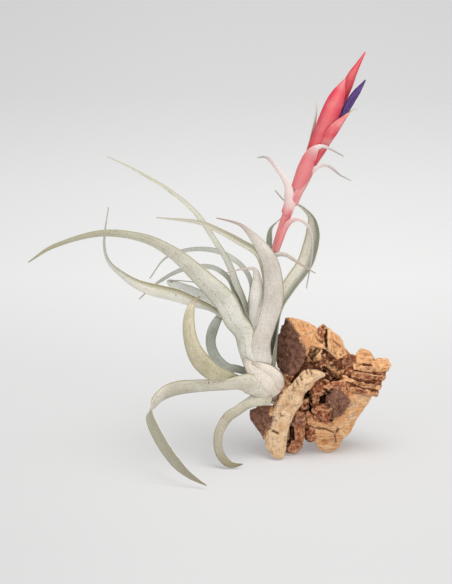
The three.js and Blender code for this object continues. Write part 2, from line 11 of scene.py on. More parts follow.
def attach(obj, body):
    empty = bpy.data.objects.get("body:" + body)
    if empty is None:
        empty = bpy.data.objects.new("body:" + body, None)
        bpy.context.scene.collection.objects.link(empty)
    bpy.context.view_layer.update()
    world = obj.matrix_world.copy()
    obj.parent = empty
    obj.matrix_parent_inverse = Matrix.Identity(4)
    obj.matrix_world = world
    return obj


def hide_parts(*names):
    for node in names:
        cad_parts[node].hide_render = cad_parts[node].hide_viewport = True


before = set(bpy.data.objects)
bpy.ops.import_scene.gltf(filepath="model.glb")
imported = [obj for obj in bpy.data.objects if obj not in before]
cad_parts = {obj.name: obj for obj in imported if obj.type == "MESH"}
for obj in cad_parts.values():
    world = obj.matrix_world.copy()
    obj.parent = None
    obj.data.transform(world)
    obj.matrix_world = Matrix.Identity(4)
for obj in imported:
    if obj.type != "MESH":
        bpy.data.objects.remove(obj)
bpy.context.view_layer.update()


# The picture is taken from well back, 15 degrees above level, with a long lens. Soft light falls
# from above and from the front, with a weak fill from each side, on a pale seamless floor.
MM = 0.001
VIEW_TILT = math.radians(15)
VIEW_AHEAD = Vector((0, math.cos(VIEW_TILT), -math.sin(VIEW_TILT)))
VIEW_UP = Vector((0, math.sin(VIEW_TILT), math.cos(VIEW_TILT)))
VIEW_MIDDLE = Vector((-43.3, 0, 0)) * MM + VIEW_UP * 107.4 * MM
VIEW_HEIGHT = 408.8 * MM
CAMERA_BACK = 10.0
CAMERA_REACH = 200.0
SENSOR_HEIGHT = 36.0

bpy.ops.object.camera_add(location=VIEW_MIDDLE - VIEW_AHEAD * CAMERA_BACK)
camera = bpy.context.object
camera.name = "camera"
camera.rotation_euler = VIEW_AHEAD.to_track_quat("-Z", "Y").to_euler()
camera.data.sensor_fit = "VERTICAL"
camera.data.sensor_height = SENSOR_HEIGHT
camera.data.lens = SENSOR_HEIGHT * CAMERA_BACK / VIEW_HEIGHT
camera.data.clip_end = CAMERA_REACH
bpy.context.scene.camera = camera
bpy.context.scene.view_settings.view_transform = "Standard"

# Each light: its place, the place that it points at, its side, its watts and its colour.
LIGHTS = {
    "overhead_softbox": ((0.4, -0.3, 2.2), (-0.03, 0.0, 0.05), 1.8, 36.0, (1.0, 0.99, 0.98)),
    "front_softbox": ((0.7, -2.4, 1.5), (-0.03, 0.0, 0.10), 2.2, 16.0, (1.0, 0.99, 0.97)),
    "left_fill": ((-1.5, -1.9, 0.45), (-0.03, 0.0, 0.12), 1.2, 10.0, (1.0, 0.99, 0.99)),
    "right_fill": ((1.3, -1.9, 0.35), (0.03, 0.0, 0.05), 1.2, 7.0, (1.0, 0.98, 0.95)),
}
for name, (place, aim, side, watts, colour) in LIGHTS.items():
    bpy.ops.object.light_add(type="AREA", location=place)
    lamp = bpy.context.object
    lamp.name = name
    lamp.rotation_euler = (Vector(aim) - Vector(place)).to_track_quat("-Z", "Y").to_euler()
    lamp.data.size = side
    lamp.data.energy = watts
    lamp.data.color = colour
    lamp.visible_camera = False

STUDIO_LIGHT = (0.985, 0.985, 1.0)
STUDIO_STRENGTH = 0.54
world = bpy.data.worlds.new("studio")
world.use_nodes = True
world.node_tree.nodes["Background"].inputs["Color"].default_value = (*STUDIO_LIGHT, 1.0)
world.node_tree.nodes["Background"].inputs["Strength"].default_value = STUDIO_STRENGTH
bpy.context.scene.world = world


class Nodes:
    """A node tree, with short ways to add what the finishes here are made of."""

    def __init__(self, tree):
        self.tree = tree

    def fill(self, node, **inputs):
        """Sets each named or numbered input of a node, or links it to another node's output."""
        for key, value in inputs.items():
            numbered = key[1:].isdigit()
            socket = node.inputs[int(key[1:]) if numbered else key.replace("_", " ")]
            if isinstance(value, bpy.types.NodeSocket):
                self.tree.links.new(value, socket)
            else:
                socket.default_value = (*value, 1) if socket.type == "RGBA" else value
        return node

    def add(self, kind, settings=None, **inputs):
        """A node of that kind, with its settings and its inputs."""
        made = self.tree.nodes.new(f"ShaderNode{kind}")
        for key, value in (settings or {}).items():
            setattr(made, key, value)
        return self.fill(made, **inputs)

    def calc(self, operation, *values):
        """Arithmetic on values and outputs."""
        inputs = {f"i{place}": value for place, value in enumerate(values)}
        return self.add("Math", {"operation": operation}, **inputs).outputs[0]

    def mask(self, value, start, full, most=1.0, **settings):
        """Grows from 0 where a value is at its start to the most where it is full."""
        inputs = {"Value": value, "From_Min": start, "From_Max": full, "To_Max": most}
        return self.add("MapRange", settings, **inputs).outputs["Result"]

    def mix(self, factor, first, second, mode="MIX"):
        """Blends two colours by a factor."""
        settings = {"data_type": "RGBA", "blend_type": mode}
        return self.add("Mix", settings, i0=factor, i6=first, i7=second).outputs[2]

    def layers(self, colour, *layers):
        """Colours laid one over another. Each has a value, where it starts and where it is full, the
        most that it covers, the colour, and in some cases how that is blended."""
        for value, start, full, most, over, *mode in layers:
            colour = self.mix(self.mask(value, start, full, most), colour, over, *mode)
        return colour

    def painted(self, name):
        """A number that is stored on the mesh."""
        return self.add("Attribute", {"attribute_name": name}).outputs["Fac"]

    def texture(self, kind, place, turns, **inputs):
        """A texture with so many turns a metre along each axis."""
        stretch = self.add("Mapping", Vector=place, Scale=turns)
        return self.add(kind, Vector=stretch.outputs["Vector"], Scale=1.0, **inputs).outputs

    def noise(self, place, turns, detail, roughness):
        """Noise with so many turns a metre, the same along each axis or not."""
        turns = turns if isinstance(turns, tuple) else (turns,) * 3
        return self.texture("TexNoise", place, turns, Detail=detail, Roughness=roughness)["Fac"]


class Look(Nodes):
    """A material, whose shader has its roughness and specular level set."""

    def __init__(self, name, roughness, specular=0.5):
        self.material = bpy.data.materials.new(name)
        self.material.use_nodes = True
        super().__init__(self.material.node_tree)
        self.shader = self.tree.nodes["Principled BSDF"]
        self.shade(Roughness=roughness, Specular_IOR_Level=specular)

    def shade(self, **inputs):
        """Sets inputs of the shader, or links them."""
        self.fill(self.shader, **inputs)

    def bump(self, height, distance, strength):
        """Relief from a height, with its distance in millimetres."""
        made = self.add("Bump", Height=height, Distance=distance * MM, Strength=strength)
        self.shade(Normal=made.outputs["Normal"])


# The paper's tones, from in front of the object to behind it, are painted shade where the light falls off.
# It is painted a little darker at the sides.
SWEEP_FROM = -0.8
SWEEP_TO = 1.0
SWEEP_SHADE_TONES = [
    (0.0, 0.40), (0.30, 0.43), (0.44, 0.46), (0.56, 0.49), (0.70, 0.57), (0.84, 0.55), (1.0, 0.48),
]
SWEEP_BLUE = 0.995
SIDE_PAINTED_SHADE = 0.93
SIDE_FADES = (0.04, 0.26)
# It glows a little, which keeps the shadows pale, and far away it passes into the light of the
# studio, so that no horizon shows.
PAPER_GLOW = 0.44
PAPER_FADES = (1.4, 3.5)
FLOOR_RADIUS = 80.0
FLOOR_SIDES = 128

bpy.ops.mesh.primitive_circle_add(vertices=FLOOR_SIDES, radius=FLOOR_RADIUS, fill_type="NGON")
floor = bpy.context.object
floor.name = "studio_floor"
paper = Look("studio_paper", roughness=0.8, specular=0.1)
over = paper.add("TexCoord").outputs["Object"]
apart = paper.add("SeparateXYZ", Vector=over).outputs
# The ramp of tones is painted shade along the floor.
back = paper.add("ValToRGB", Fac=paper.mask(apart["Y"], SWEEP_FROM, SWEEP_TO))
for _ in SWEEP_SHADE_TONES[2:]:
    back.color_ramp.elements.new(0.5)
for stop, (where, tone) in zip(back.color_ramp.elements, SWEEP_SHADE_TONES):
    stop.position = where
    stop.color = (tone, tone, tone * SWEEP_BLUE, 1)
# Painted shade at the sides.
aside = paper.calc("ABSOLUTE", apart["X"])
edge = paper.mask(aside, *SIDE_FADES, interpolation_type="SMOOTHSTEP")
shaded_paper = paper.mix(edge, back.outputs["Color"], (SIDE_PAINTED_SHADE,) * 3, "MULTIPLY")
distance = paper.add("VectorMath", {"operation": "LENGTH"}, i0=over).outputs["Value"]
far = paper.mask(distance, *PAPER_FADES)
paper.shade(Base_Color=paper.mix(far, shaded_paper, (0, 0, 0)), Emission_Strength=STUDIO_STRENGTH,
            Emission_Color=paper.mix(far, (PAPER_GLOW,) * 3, STUDIO_LIGHT))
floor.data.materials.append(paper.material)


# The chunk of cork bark is broken, not cut: angular blocks of tan cork in layers, with reddish
# seams between them, a pale worn ridge, patches of dark outer bark and a crumbled hollow.
# It is one piece, and the plant sits against its left side.
STAND_POINT = (-12.0, 15.0)


def spot(across, up, depth):
    """A place on the front layout, in millimetres, as a point of the model."""
    level = (up - depth * math.sin(VIEW_TILT)) / math.cos(VIEW_TILT)
    return Vector((across - STAND_POINT[0], depth - STAND_POINT[1], level)) * MM


def layout(place):
    """Where a point of the model is on the front layout: across and up, in millimetres."""
    depth = place.y / MM + STAND_POINT[1]
    up = place.z / MM * math.cos(VIEW_TILT) + depth * math.sin(VIEW_TILT)
    return Vector((place.x / MM + STAND_POINT[0], up))


# What a block is made of: how dark, how red and how pale it is, and whether its grain stands up.
BARK = (1.0, 0.0, 0.0, 0.0)
KNOB = (1.0, 0.15, 0.0, 0.0)
BAND = (0.1, 0.6, 0.0, 0.0)
RED = (0.0, 1.0, 0.0, 0.0)
EARTH = (0.4, 0.7, 0.0, 0.0)
TAN = (0.0, 0.0, 0.0, 0.0)
CLEAN_TAN = (0.0, 0.0, 0.42, 0.0)
LAYER = (0.05, 0.36, 0.0, 0.0)
TAN_UPRIGHT = (0.0, 0.0, 0.0, 1.0)
PALE = (0.0, 0.0, 1.0, 0.7)

# Each block: its front outline as across, up and depth, its back depth, how much it narrows to the
# back, how far its front is crowned, and what it is made of.
CORK_BLOCKS = [
    # The core that all the blocks belong to.
    ([(-14, 58, 6), (-8, 66, 8), (0, 74, 10), (16, 70, 10), (27, 64, 8), (40, 60, 6), (51, 58, 6),
     (49, 45, 6), (43, 34, 6), (34, 20, 6), (24, 8, 6), (8, 7, 4), (-2, 11, 2), (-12, 18, 0),
     (-17, 38, 2)], 29, 0.8, 0, EARTH),
    # The plate of outer bark at the top left, which runs down behind the bulb.
    ([(-13.1, 93.8, 2), (-18, 83, 5), (-22.4, 72.5, 8), (-21.4, 66, 6), (-18.4, 58.5, 2),
     (-15.8, 54.1, -2), (-14, 46.6, -5), (-10.5, 49.4, -8), (-6, 54.6, -8), (-2.6, 59.3, -7.4),
     (0, 65.5, -8), (0, 71, -8), (-4.2, 81.4, -5), (-8.8, 87.2, -2)], 20, 0.8, 1.2, BARK),
    # The broken face beside it.
    ([(-12.4, 94, 3), (-3.5, 91.9, 5), (6.4, 88, 7), (9.2, 84.6, 5), (11, 78, 3), (15.8, 71.4, 2),
     (3.9, 73.4, -1), (0.9, 65.5, -7), (0.4, 71, -7.4), (-3.8, 81.6, -4.6), (-8.4, 87.4, -1.6)], 33, 0.82,
     0.5, TAN_UPRIGHT),
    # The next block of it, split by a deep crack.
    ([(9.2, 85.9, 4), (12.2, 88.8, 9), (14.6, 87.2, 8), (14.8, 73, 1), (9.7, 78.4, 2)], 30, 0.85, 0.5,
     RED),
    ([(15.2, 87.2, 8), (18.3, 84.6, 7), (23.7, 80.1, 8), (27.5, 73.5, 7), (28.9, 67.2, 5), (22, 63.4, 3),
     (16.3, 70, 1), (15, 74, 1)], 33, 0.84, 0.6, TAN_UPRIGHT),
    # The saddle between these and the layers at the right.
    ([(26, 70, 8), (36, 66, 8), (37, 58, 6), (26, 56, 4)], 26, 0.9, 0.4, EARTH),
    # The pale ridge that slants down to the left foot.
    ([(0, 57.8, -11), (7.9, 57.2, -12), (14.4, 55.2, -12), (14, 52.6, -13), (7, 49, -15),
     (4.6, 45.3, -16), (-0.4, 41, -16.4), (-2.5, 34, -17), (-6, 28.7, -18), (-8.4, 23.5, -18.6),
     (-10.9, 17.3, -19.4), (-12.6, 11.2, -20), (-13.1, 3.3, -20.6), (-14.4, -2.8, -22), (-18, -5.4, -24),
     (-23, -3.4, -23.4), (-26.9, 3, -19), (-28.4, 10.3, -16.6), (-26, 15.5, -16.4), (-24.2, 21.7, -16),
     (-23.6, 27.8, -15.6), (-20.1, 33, -15.4), (-16.1, 40, -14.6), (-11.9, 45.3, -13.4),
     (-6.1, 51.4, -12)], 6, 0.9, 2.2, PALE),
    # A dark block fills the back of the gap between its foot and the crumbled column, as painted shade
    # inside it.
    ([(-16, 34, -9), (0, 34, -8), (-2, 16, -7), (-7, 5, -7), (-15, 6, -10)], 8, 0.9, 0, KNOB),
    # The reddish band along the ridge's left side.
    ([(-14.3, 53.4, -6), (-7.6, 52.6, -11), (-12.2, 46.6, -12), (-16.8, 38.4, -13), (-22, 31.6, -12),
     (-21, 38, -6), (-17.6, 46, -4)], 10, 0.9, 0.6, BAND),
    # The dark lobe at the lower left.
    ([(-38.2, 28.9, -6), (-31.6, 32.6, -8), (-23.2, 32.4, -12), (-22.4, 26.4, -15), (-24.6, 16.5, -17),
     (-28.8, 8.2, -15), (-31, 12.4, -12), (-35.7, 19, -8), (-39, 22.3, -5)], 12, 0.8, 2.4, BARK),
    # The reddish block in the middle, the tan one at its right, and the dark knob.
    ([(4.4, 48.4, -10), (9, 51.6, -11), (16.3, 49.6, -9), (19, 44, -9), (13.8, 40.5, -11),
     (10.4, 38.4, -12), (8.4, 31, -11), (4.2, 33, -10), (2.6, 40.4, -10)], 10, 0.92, 0.9, RED),
    ([(17.6, 47.6, -6), (27, 50.4, -5), (33, 45.8, -4), (31.6, 35, -6), (25, 41, -9), (19.6, 43, -9)], 10,
     0.95, 0.5, BAND),
    ([(14.6, 39.6, -13), (21.2, 43.9, -14), (26.2, 42.3, -14), (30.3, 36.3, -13), (28.1, 29.4, -14),
     (22.9, 24.4, -14), (19.4, 22.8, -14), (17.5, 29.7, -14), (13.6, 33, -13)], 8, 0.9, 2.6, KNOB),
    ([(5, 29.7, -12), (13, 33.6, -14), (19, 31, -16), (18, 23.4, -16), (15.3, 20.6, -15.5), (6, 24, -13)],
     4, 0.92, 0.6, RED),
    # Layers under it.
    ([(0.4, 28.6, -9), (8, 24.6, -12), (18.4, 20.9, -13.4), (19.4, 18.4, -13.4), (8.6, 20.6, -12),
     (0.6, 24, -10)], 6, 0.95, 0.3, BAND),
    ([(0.6, 24, -9), (9.4, 20.6, -11.4), (19.6, 18, -12.4), (23, 14.4, -12), (9, 16.4, -11.4),
     (1, 19.4, -9.6)], 6, 0.95, 0.3, TAN),
    # The crumbled column beside the ridge's foot.
    ([(-5.4, 29.6, -13.6), (-0.6, 27.6, -12.6), (0.4, 18.2, -11.6), (-0.6, 9.9, -11), (-4.4, 3.2, -11),
     (-9, 9, -12.6), (-9.6, 18.6, -14.6), (-7.8, 24, -15)], 6, 0.9, 1.2, EARTH),
    ([(-4.4, 8.6, -10), (-1.2, 8.4, -8), (-2.6, 2.2, -8), (-7.6, -1.2, -10), (-12.6, -0.8, -12),
     (-11.6, 5.4, -13), (-7.6, 9.4, -13)], 4, 0.9, 0.8, BAND),
    ([(-3.6, 35.9, -13), (2.6, 37.4, -11), (2, 29.4, -10), (-3.4, 27.6, -13)], 2, 0.9, 0.6, RED),
    # The finely layered face that slants down to the right foot.
    ([(30, 43, -5), (46.6, 40, -2.4), (44.6, 33.8, -3), (38.8, 27, -4), (35.5, 22.1, -5), (32.2, 14, -6),
     (28.9, 10.5, -6), (21.5, 14.4, -10), (18.2, 18.4, -12), (20, 23.9, -12), (27, 28.6, -9),
     (30.6, 36.3, -7)], 28, 0.86, 0.4, CLEAN_TAN),
    # The layers at the right, tan ones a little proud of red seams.
    ([(24.6, 56.1, -1), (35.3, 63.2, -1.4), (47.7, 60.4, -2), (58, 58.6, -1.4), (53.4, 48.4, -2.6),
     (49.6, 39.8, -3), (30.4, 41.3, -4.4)], 24, 0.88, 0.2, RED),
    ([(35.2, 68.6, 1), (39, 72.2, 2), (44.6, 70.2, 2), (49.3, 63.4, 0), (46.4, 61, -3), (35.2, 61.6, -3)],
     21, 0.84, 0.5, TAN),
    ([(46.4, 62, -2), (50.6, 65.2, 1), (57, 64.4, 1), (60, 60.5, -1), (58.8, 58.4, -3), (47, 58.6, -4)],
     21, 0.86, 0.4, TAN),
    ([(33, 61.2, -3.4), (47.7, 59, -4.4), (58.8, 58.3, -3.2), (57.6, 55.6, -3.2), (42.7, 55.9, -4.4),
     (34, 57.6, -4.4)], 18, 0.95, 0.2, LAYER),
    ([(31, 56.4, -4), (44, 54, -5), (56.6, 52.4, -3.8), (55, 49.4, -3.8), (43, 50, -5.2), (32.4, 52, -5)],
     18, 0.95, 0.2, BAND),
    ([(24.6, 53.8, -4), (37.8, 48.6, -5.8), (53.4, 46.4, -4.4), (52.4, 43.2, -4.4), (40, 44.6, -6),
     (26.6, 50, -5)], 18, 0.95, 0.2, LAYER),
    ([(29.6, 47, -5), (41, 43, -5.4), (51, 41.6, -4.4), (49.8, 38.8, -4.4), (40, 40, -5.6),
     (30.6, 42.6, -5.6)], 16, 0.95, 0.2, BAND),
    # The bottom: a reddish patch, and the smooth lobe that stands on the floor.
    ([(-0.2, 18.8, -8), (6.6, 16.4, -10), (9, 8, -7), (4, 6.4, -5), (0.6, 8.2, -6)], 12, 0.9, 0.6, RED),
    ([(6.4, 16, -10), (13, 15.3, -11), (19.4, 13.6, -11), (24.6, 15.4, -10), (28.6, 11.4, -7),
     (25.8, 7.4, -5), (22.9, 2, -4), (16.3, -1.0, -5), (10.5, 0.2, -5), (6, 6.6, -6)], 24, 0.9, 1.8,
     CLEAN_TAN),
    # The unseen back, in three broad slabs.
    ([(-12, 60, 20), (-8, 84, 22), (8, 86, 24), (16, 66, 22), (8, 44, 20), (-10, 40, 18)], 33.6, 0.8, 0.4,
     BARK),
    ([(12, 50, 20), (20, 82, 24), (30, 70, 24), (40, 60, 22), (34, 36, 20)], 34, 0.82, 0.6, TAN_UPRIGHT),
    ([(-12, 40, 16), (14, 46, 20), (34, 40, 20), (32, 18, 16), (14, 10, 14), (-6, 18, 12)], 30, 0.85, 0.6,
     EARTH),
]
CROWN_INSET = 1.1


def cork_block(front, back, narrowing, crown):
    """A broken block: its front outline crowned by an inset, and drawn back to a narrower end."""
    bpy.ops.object.select_all(action="DESELECT")
    bpy.ops.mesh.primitive_circle_add(vertices=len(front), radius=MM, fill_type="NGON")
    block = bpy.context.object
    for vertex, corner in zip(block.data.vertices, front):
        vertex.co = spot(*corner)
    middle = sum((Vector(corner) for corner in front), Vector()) / len(front)
    bpy.ops.object.mode_set(mode="EDIT")
    bpy.ops.mesh.select_all(action="SELECT")
    bpy.ops.mesh.extrude_region()
    bpy.ops.object.mode_set(mode="OBJECT")
    for vertex in [vertex for vertex in block.data.vertices if vertex.select]:
        corner = min(front, key=lambda one: (spot(*one) - vertex.co).length)
        flat = middle.lerp(Vector(corner), narrowing)
        vertex.co = spot(flat.x, flat.y, back)
    bpy.ops.object.mode_set(mode="EDIT")
    bpy.ops.mesh.select_all(action="SELECT")
    bpy.ops.mesh.normals_make_consistent(inside=False)
    bpy.ops.object.mode_set(mode="OBJECT")
    if crown:
        front_face = min(block.data.polygons, key=lambda face: face.center.dot(VIEW_AHEAD))
        for face in block.data.polygons:
            face.select = face.index == front_face.index
        bpy.ops.object.mode_set(mode="EDIT")
        bpy.ops.mesh.select_mode(type="FACE")
        bpy.ops.mesh.inset(thickness=CROWN_INSET * crown * MM, depth=0.0)
        bpy.ops.transform.translate(value=-VIEW_AHEAD * crown * MM)
        bpy.ops.object.mode_set(mode="OBJECT")
    return block


blocks = [cork_block(*block[:4]) for block in CORK_BLOCKS]
stuffs = [block[4] for block in CORK_BLOCKS]

# Crumbs of broken cork lie in the hollow behind the plate and down the gap below it. They run
# across and up from one place, and each strays to the sides of that run.
CRUMBS = 34
CRUMBS_FROM = (3, 70)
CRUMBS_RUN = (20, -17)
CRUMBS_STRAY = (3, 4.5)
CRUMBS_DEPTH = (0, 7)
CRUMB_SIDE = (2.0, 4.6)
CRUMB_STRETCH = (0.55, 1.25)
CRUMB_TURN = 3
chance = random.Random(11)
for _ in range(CRUMBS):
    along = chance.random()
    across, up = (start + run * along + chance.uniform(-stray, stray)
                  for start, run, stray in zip(CRUMBS_FROM, CRUMBS_RUN, CRUMBS_STRAY))
    place = spot(across, up, chance.uniform(*CRUMBS_DEPTH))
    side = chance.uniform(*CRUMB_SIDE) * MM
    turn = (chance.uniform(0, CRUMB_TURN), chance.uniform(0, CRUMB_TURN), 0)
    bpy.ops.object.select_all(action="DESELECT")
    bpy.ops.mesh.primitive_cube_add(size=side, location=place, rotation=turn)
    crumb = bpy.context.object
    for vertex in crumb.data.vertices:
        vertex.co *= chance.uniform(*CRUMB_STRETCH)
    bpy.ops.object.transform_apply()
    blocks.append(crumb)
    stuffs.append(chance.choice([TAN, TAN, KNOB, EARTH]))

corners, faces, stuff_of_face = [], [], []
for block, stuff in zip(blocks, stuffs):
    start = len(corners)
    corners += [vertex.co.copy() for vertex in block.data.vertices]
    for face in block.data.polygons:
        faces.append([start + index for index in face.vertices])
        stuff_of_face.append(stuff)
nearest_block = BVHTree.FromPolygons(corners, faces)

# The blocks are fused into one mesh, whose cells are fine enough for the relief.
CORK_CELL = 0.67 * MM
bpy.ops.object.select_all(action="DESELECT")
for block in blocks:
    block.select_set(True)
bpy.context.view_layer.objects.active = blocks[0]
bpy.ops.object.join()
cork = bpy.context.object
cork.name = "cork_chunk"
cork.data.remesh_voxel_size = CORK_CELL
bpy.ops.object.voxel_remesh()

# Cracks and pores, each from one place to the next on the front layout, with its half width and depth.
CORK_CRACKS = [
    ([(14.6, 84.6), (14.2, 79), (14.8, 73.5)], 0.6, 4),
    ([(2.6, 29.9), (3.4, 34.3), (3.2, 39.5)], 0.9, 5),
    ([(22.9, 15.7), (20.4, 11.5), (21.6, 6.6)], 0.4, 1.6),
    ([(8.2, 17), (14.3, 15.9), (19.6, 13.2)], 0.4, 2),
    ([(7, 80.5), (8.4, 77.8), (11.2, 76.4)], 0.35, 1.4),
    ([(19.6, 76.8), (22, 75.4), (24.4, 72.7)], 0.35, 1.2),
    ([(0.2, 57.4), (1.2, 54.6)], 0.45, 2.2),
    ([(3.2, 56.9), (4.2, 54.2)], 0.4, 1.8),
    ([(-3.6, 52.4), (-2.4, 49.8)], 0.4, 1.8),
    ([(-6.4, 49.4), (-5.2, 46.8)], 0.4, 1.6),
    ([(-8.8, 46.2), (-8, 44.4)], 0.35, 1.2),
    ([(0, 46), (3.4, 47.4)], 0.35, 1.2),
    ([(-22.5, 14.4), (-19.2, 12.8)], 0.6, 2.4),
    ([(-17.4, 26.6), (-16.6, 25)], 0.4, 1.0),
    ([(-9.6, 16.7), (-8.8, 9.1)], 1.2, 5),
    ([(-12.2, 4.1), (-10.1, 8.2)], 0.8, 4),
    ([(9, 71), (5, 66)], 1.2, 4),
    ([(13, 58), (20, 52)], 1.4, 5),
    ([(13.4, 43.4), (17.4, 40.6)], 0.7, 3),
]
CRACK_EDGE = 0.5


def crack_depth(place):
    """How deep the cracks go in at a place on the front layout."""
    deepest = 0.0
    for line, half_width, depth in CORK_CRACKS:
        for first, second in zip(line, line[1:]):
            run = Vector(second) - Vector(first)
            away = place - Vector(first)
            part = max(0.0, min(1.0, away.dot(run) / run.length_squared))
            gap = (away - run * part).length
            if gap < half_width + CRACK_EDGE:
                inside = min(1.0, (half_width + CRACK_EDGE - gap) / CRACK_EDGE / 2)
                deepest = max(deepest, depth * inside)
    return deepest


# The fused surface is worked all over, by noise with so many turns a millimetre: broad and rough
# unevenness, chips, ledges along the grain, and fragments that stand at heights of their own.
BROAD_TURNS = 0.11
BROAD_LIFT = 0.8
ROUGH_TURNS = 0.30
ROUGH_LIFT = 0.5
ROUGH_LAYERS = (1.0, 2.1, 4)
FINE_TURNS = 1.1
FINE_LIFT = 0.34
CHIP_TURNS = 0.42
CHIP_PLACE = Vector((5, 5, 5))
CHIP_FROM = 0.12
CHIP_LIFT = 2.2
UPRIGHT_FROM = 0.6
UPRIGHT_LEDGES = Matrix(((0.62, 0, 0.05), (0, 0.5, 0), (0, 0, 0.07)))
LEVEL_LEDGES = Matrix(((0.05, 0, 0), (0, 0.05, 0), (0.12, 0, 0.75)))
FRAGMENT_TURNS = (0.34, 0.42, 0.58)
FRAGMENT_LIFT = 0.6
FRAGMENT_IN_TAN = 0.12
FRAGMENT_LOSSES = (0.8, 0.6)
# Where one stuff ends and the next begins strays a little, and so do the sides of the fragments.
STRAY_TURNS = 0.5
STRAY_PLACES = (Vector((0, 0, 0)), Vector((9, 3, 1)), Vector((-4, -8, -2)))
STRAY_REACH = 1.3
FRAGMENT_STRAY = 0.9
# How much of each there is, by itself and for stuff that is dark, red and pale.
ROUGH_SHARES = (1, 0.7, 0.5, -0.3)
LEDGE_SHARES = (0.42, -0.3, 0, -0.1)
FINE_SHARES = (0.6, 0.6, 0.6, 0)
CHIP_SHARES = (0.25, 0.2, 0.45, -0.05)
# A crack this deep is painted fully dark, as the shade inside it, and only the side that the picture shows
# is cracked. Rough hollows and chips get a little painted shade too.
CRACK_FULL_SHADE = 2.5
FRONT_FACING = -0.25
ROUGH_SHADE = 0.5
CHIP_SHADE = 0.15


def share_for(shares, stuff):
    return shares[0] + sum(share * part for share, part in zip(shares[1:], stuff))


dark_loss, pale_loss = FRAGMENT_LOSSES
stuff_here, crevice_shade, fragments, shifts = [], [], [], []
for vertex in cork.data.vertices:
    p = vertex.co / MM
    stray = Vector([noise.noise(p * STRAY_TURNS + place) for place in STRAY_PLACES])
    _, _, face, _ = nearest_block.find_nearest(vertex.co + stray * STRAY_REACH * MM)
    stuff = stuff_of_face[face]
    dark, red, pale, upright = stuff
    rough = ROUGH_LIFT * noise.fractal(p * ROUGH_TURNS, *ROUGH_LAYERS)
    ledges = noise.noise((UPRIGHT_LEDGES if upright > UPRIGHT_FROM else LEVEL_LEDGES) @ p)
    chips = min(0.0, noise.noise(p * CHIP_TURNS + CHIP_PLACE) + CHIP_FROM) * CHIP_LIFT
    turned = Vector([axis * turns for axis, turns in zip(p, FRAGMENT_TURNS)])
    fragment = noise.cell(turned + stray * FRAGMENT_STRAY)
    lift = BROAD_LIFT * noise.noise(p * BROAD_TURNS) + rough * share_for(ROUGH_SHARES, stuff)
    lift += share_for(LEDGE_SHARES, stuff) * ledges + share_for(CHIP_SHARES, stuff) * chips
    lift += FINE_LIFT * noise.noise(p * FINE_TURNS) * share_for(FINE_SHARES, stuff)
    stands = FRAGMENT_IN_TAN + (1 - FRAGMENT_IN_TAN) * red
    lift += FRAGMENT_LIFT * fragment * stands * (1 - dark_loss * dark) * (1 - pale_loss * pale)
    in_front = vertex.normal.dot(VIEW_AHEAD) < FRONT_FACING
    crack = crack_depth(layout(vertex.co)) if in_front else 0.0
    stuff_here.append(stuff)
    fragments.append(0.5 + 0.5 * fragment)
    crevice_shade.append(min(1.0, crack / CRACK_FULL_SHADE + max(0.0, -rough) * ROUGH_SHADE - chips * CHIP_SHADE))
    shifts.append(vertex.normal * lift * MM + VIEW_AHEAD * crack * MM)
for vertex, shift in zip(cork.data.vertices, shifts):
    vertex.co += shift
    vertex.co.z = max(0.0, vertex.co.z)


def neighbour_mean(mesh, values):
    """Each vertex's mean of its neighbours' values."""
    total = [0.0] * len(values)
    count = [0] * len(values)
    for edge in mesh.edges:
        first, second = edge.vertices
        total[first] += values[second]
        total[second] += values[first]
        count[first] += 1
        count[second] += 1
    return [part / max(1, number) for part, number in zip(total, count)]


def hollow_places(mesh, rounds):
    """How far each vertex lies under the smoothed surface, in millimetres. Edges come out negative."""
    smooth = [list(axis) for axis in zip(*(vertex.co for vertex in mesh.vertices))]
    for _ in range(rounds):
        smooth = [neighbour_mean(mesh, axis) for axis in smooth]
    return [
        (Vector(mean) - vertex.co).dot(vertex.normal) / MM
        for vertex, *mean in zip(mesh.vertices, *smooth)
    ]


def paint(mesh, name, values):
    """Stores one number for each vertex under a name that a material can read."""
    layer = mesh.attributes.new(name, "FLOAT", "POINT")
    layer.data.foreach_set("value", values)


def held(value):
    return max(0.0, min(1.0, value))


# The shares of each stuff are smoothed. The bark thins out over more rounds of that than the rest, so that
# its border can break up. Hollows get painted shade and convex edges a painted highlight.
STUFF_ROUNDS = {"dark_bark": 26, "red_seam": 1, "pale_worn": 1, "grain_up": 1}
HOLLOW_ROUNDS = 8
HOLLOW_SHADE = 0.8
EDGE_HIGHLIGHT = 1.8
cork.data.update()
hollows = hollow_places(cork.data, HOLLOW_ROUNDS)
for place, (name, rounds) in enumerate(STUFF_ROUNDS.items()):
    shares = [stuff[place] for stuff in stuff_here]
    for _ in range(rounds):
        shares = neighbour_mean(cork.data, shares)
    paint(cork.data, name, shares)
crevice_shading = [held(deep + max(0.0, HOLLOW_SHADE * hollow)) for deep, hollow in zip(crevice_shade, hollows)]
paint(cork.data, "crevice_shade", crevice_shading)
paint(cork.data, "fragment", fragments)
paint(cork.data, "edge_highlight", [held(-EDGE_HIGHLIGHT * hollow) for hollow in hollows])
bpy.ops.object.shade_smooth()

# Noises of several sizes, and lines along the grain, break up the colours.
bark = Look("cork_bark", roughness=0.9, specular=0.2)
here = bark.add("TexCoord").outputs["Object"]
blotch = bark.noise(here, 120, 5.0, 0.6)
grit = bark.noise(here, 900, 4.0, 0.7)
pits = bark.noise(here, 2100, 2.0, 0.6)
flecks = bark.noise(here, 560, 6.0, 0.78)
level_lines = bark.noise(here, (110, 110, 1300), 3.0, 0.65)
upright_lines = bark.noise(here, (1000, 1000, 120), 3.0, 0.65)
grain = bark.add("Mix", {"data_type": "FLOAT"}, i0=bark.painted("grain_up"), i2=level_lines,
                 i3=upright_lines).outputs[0]

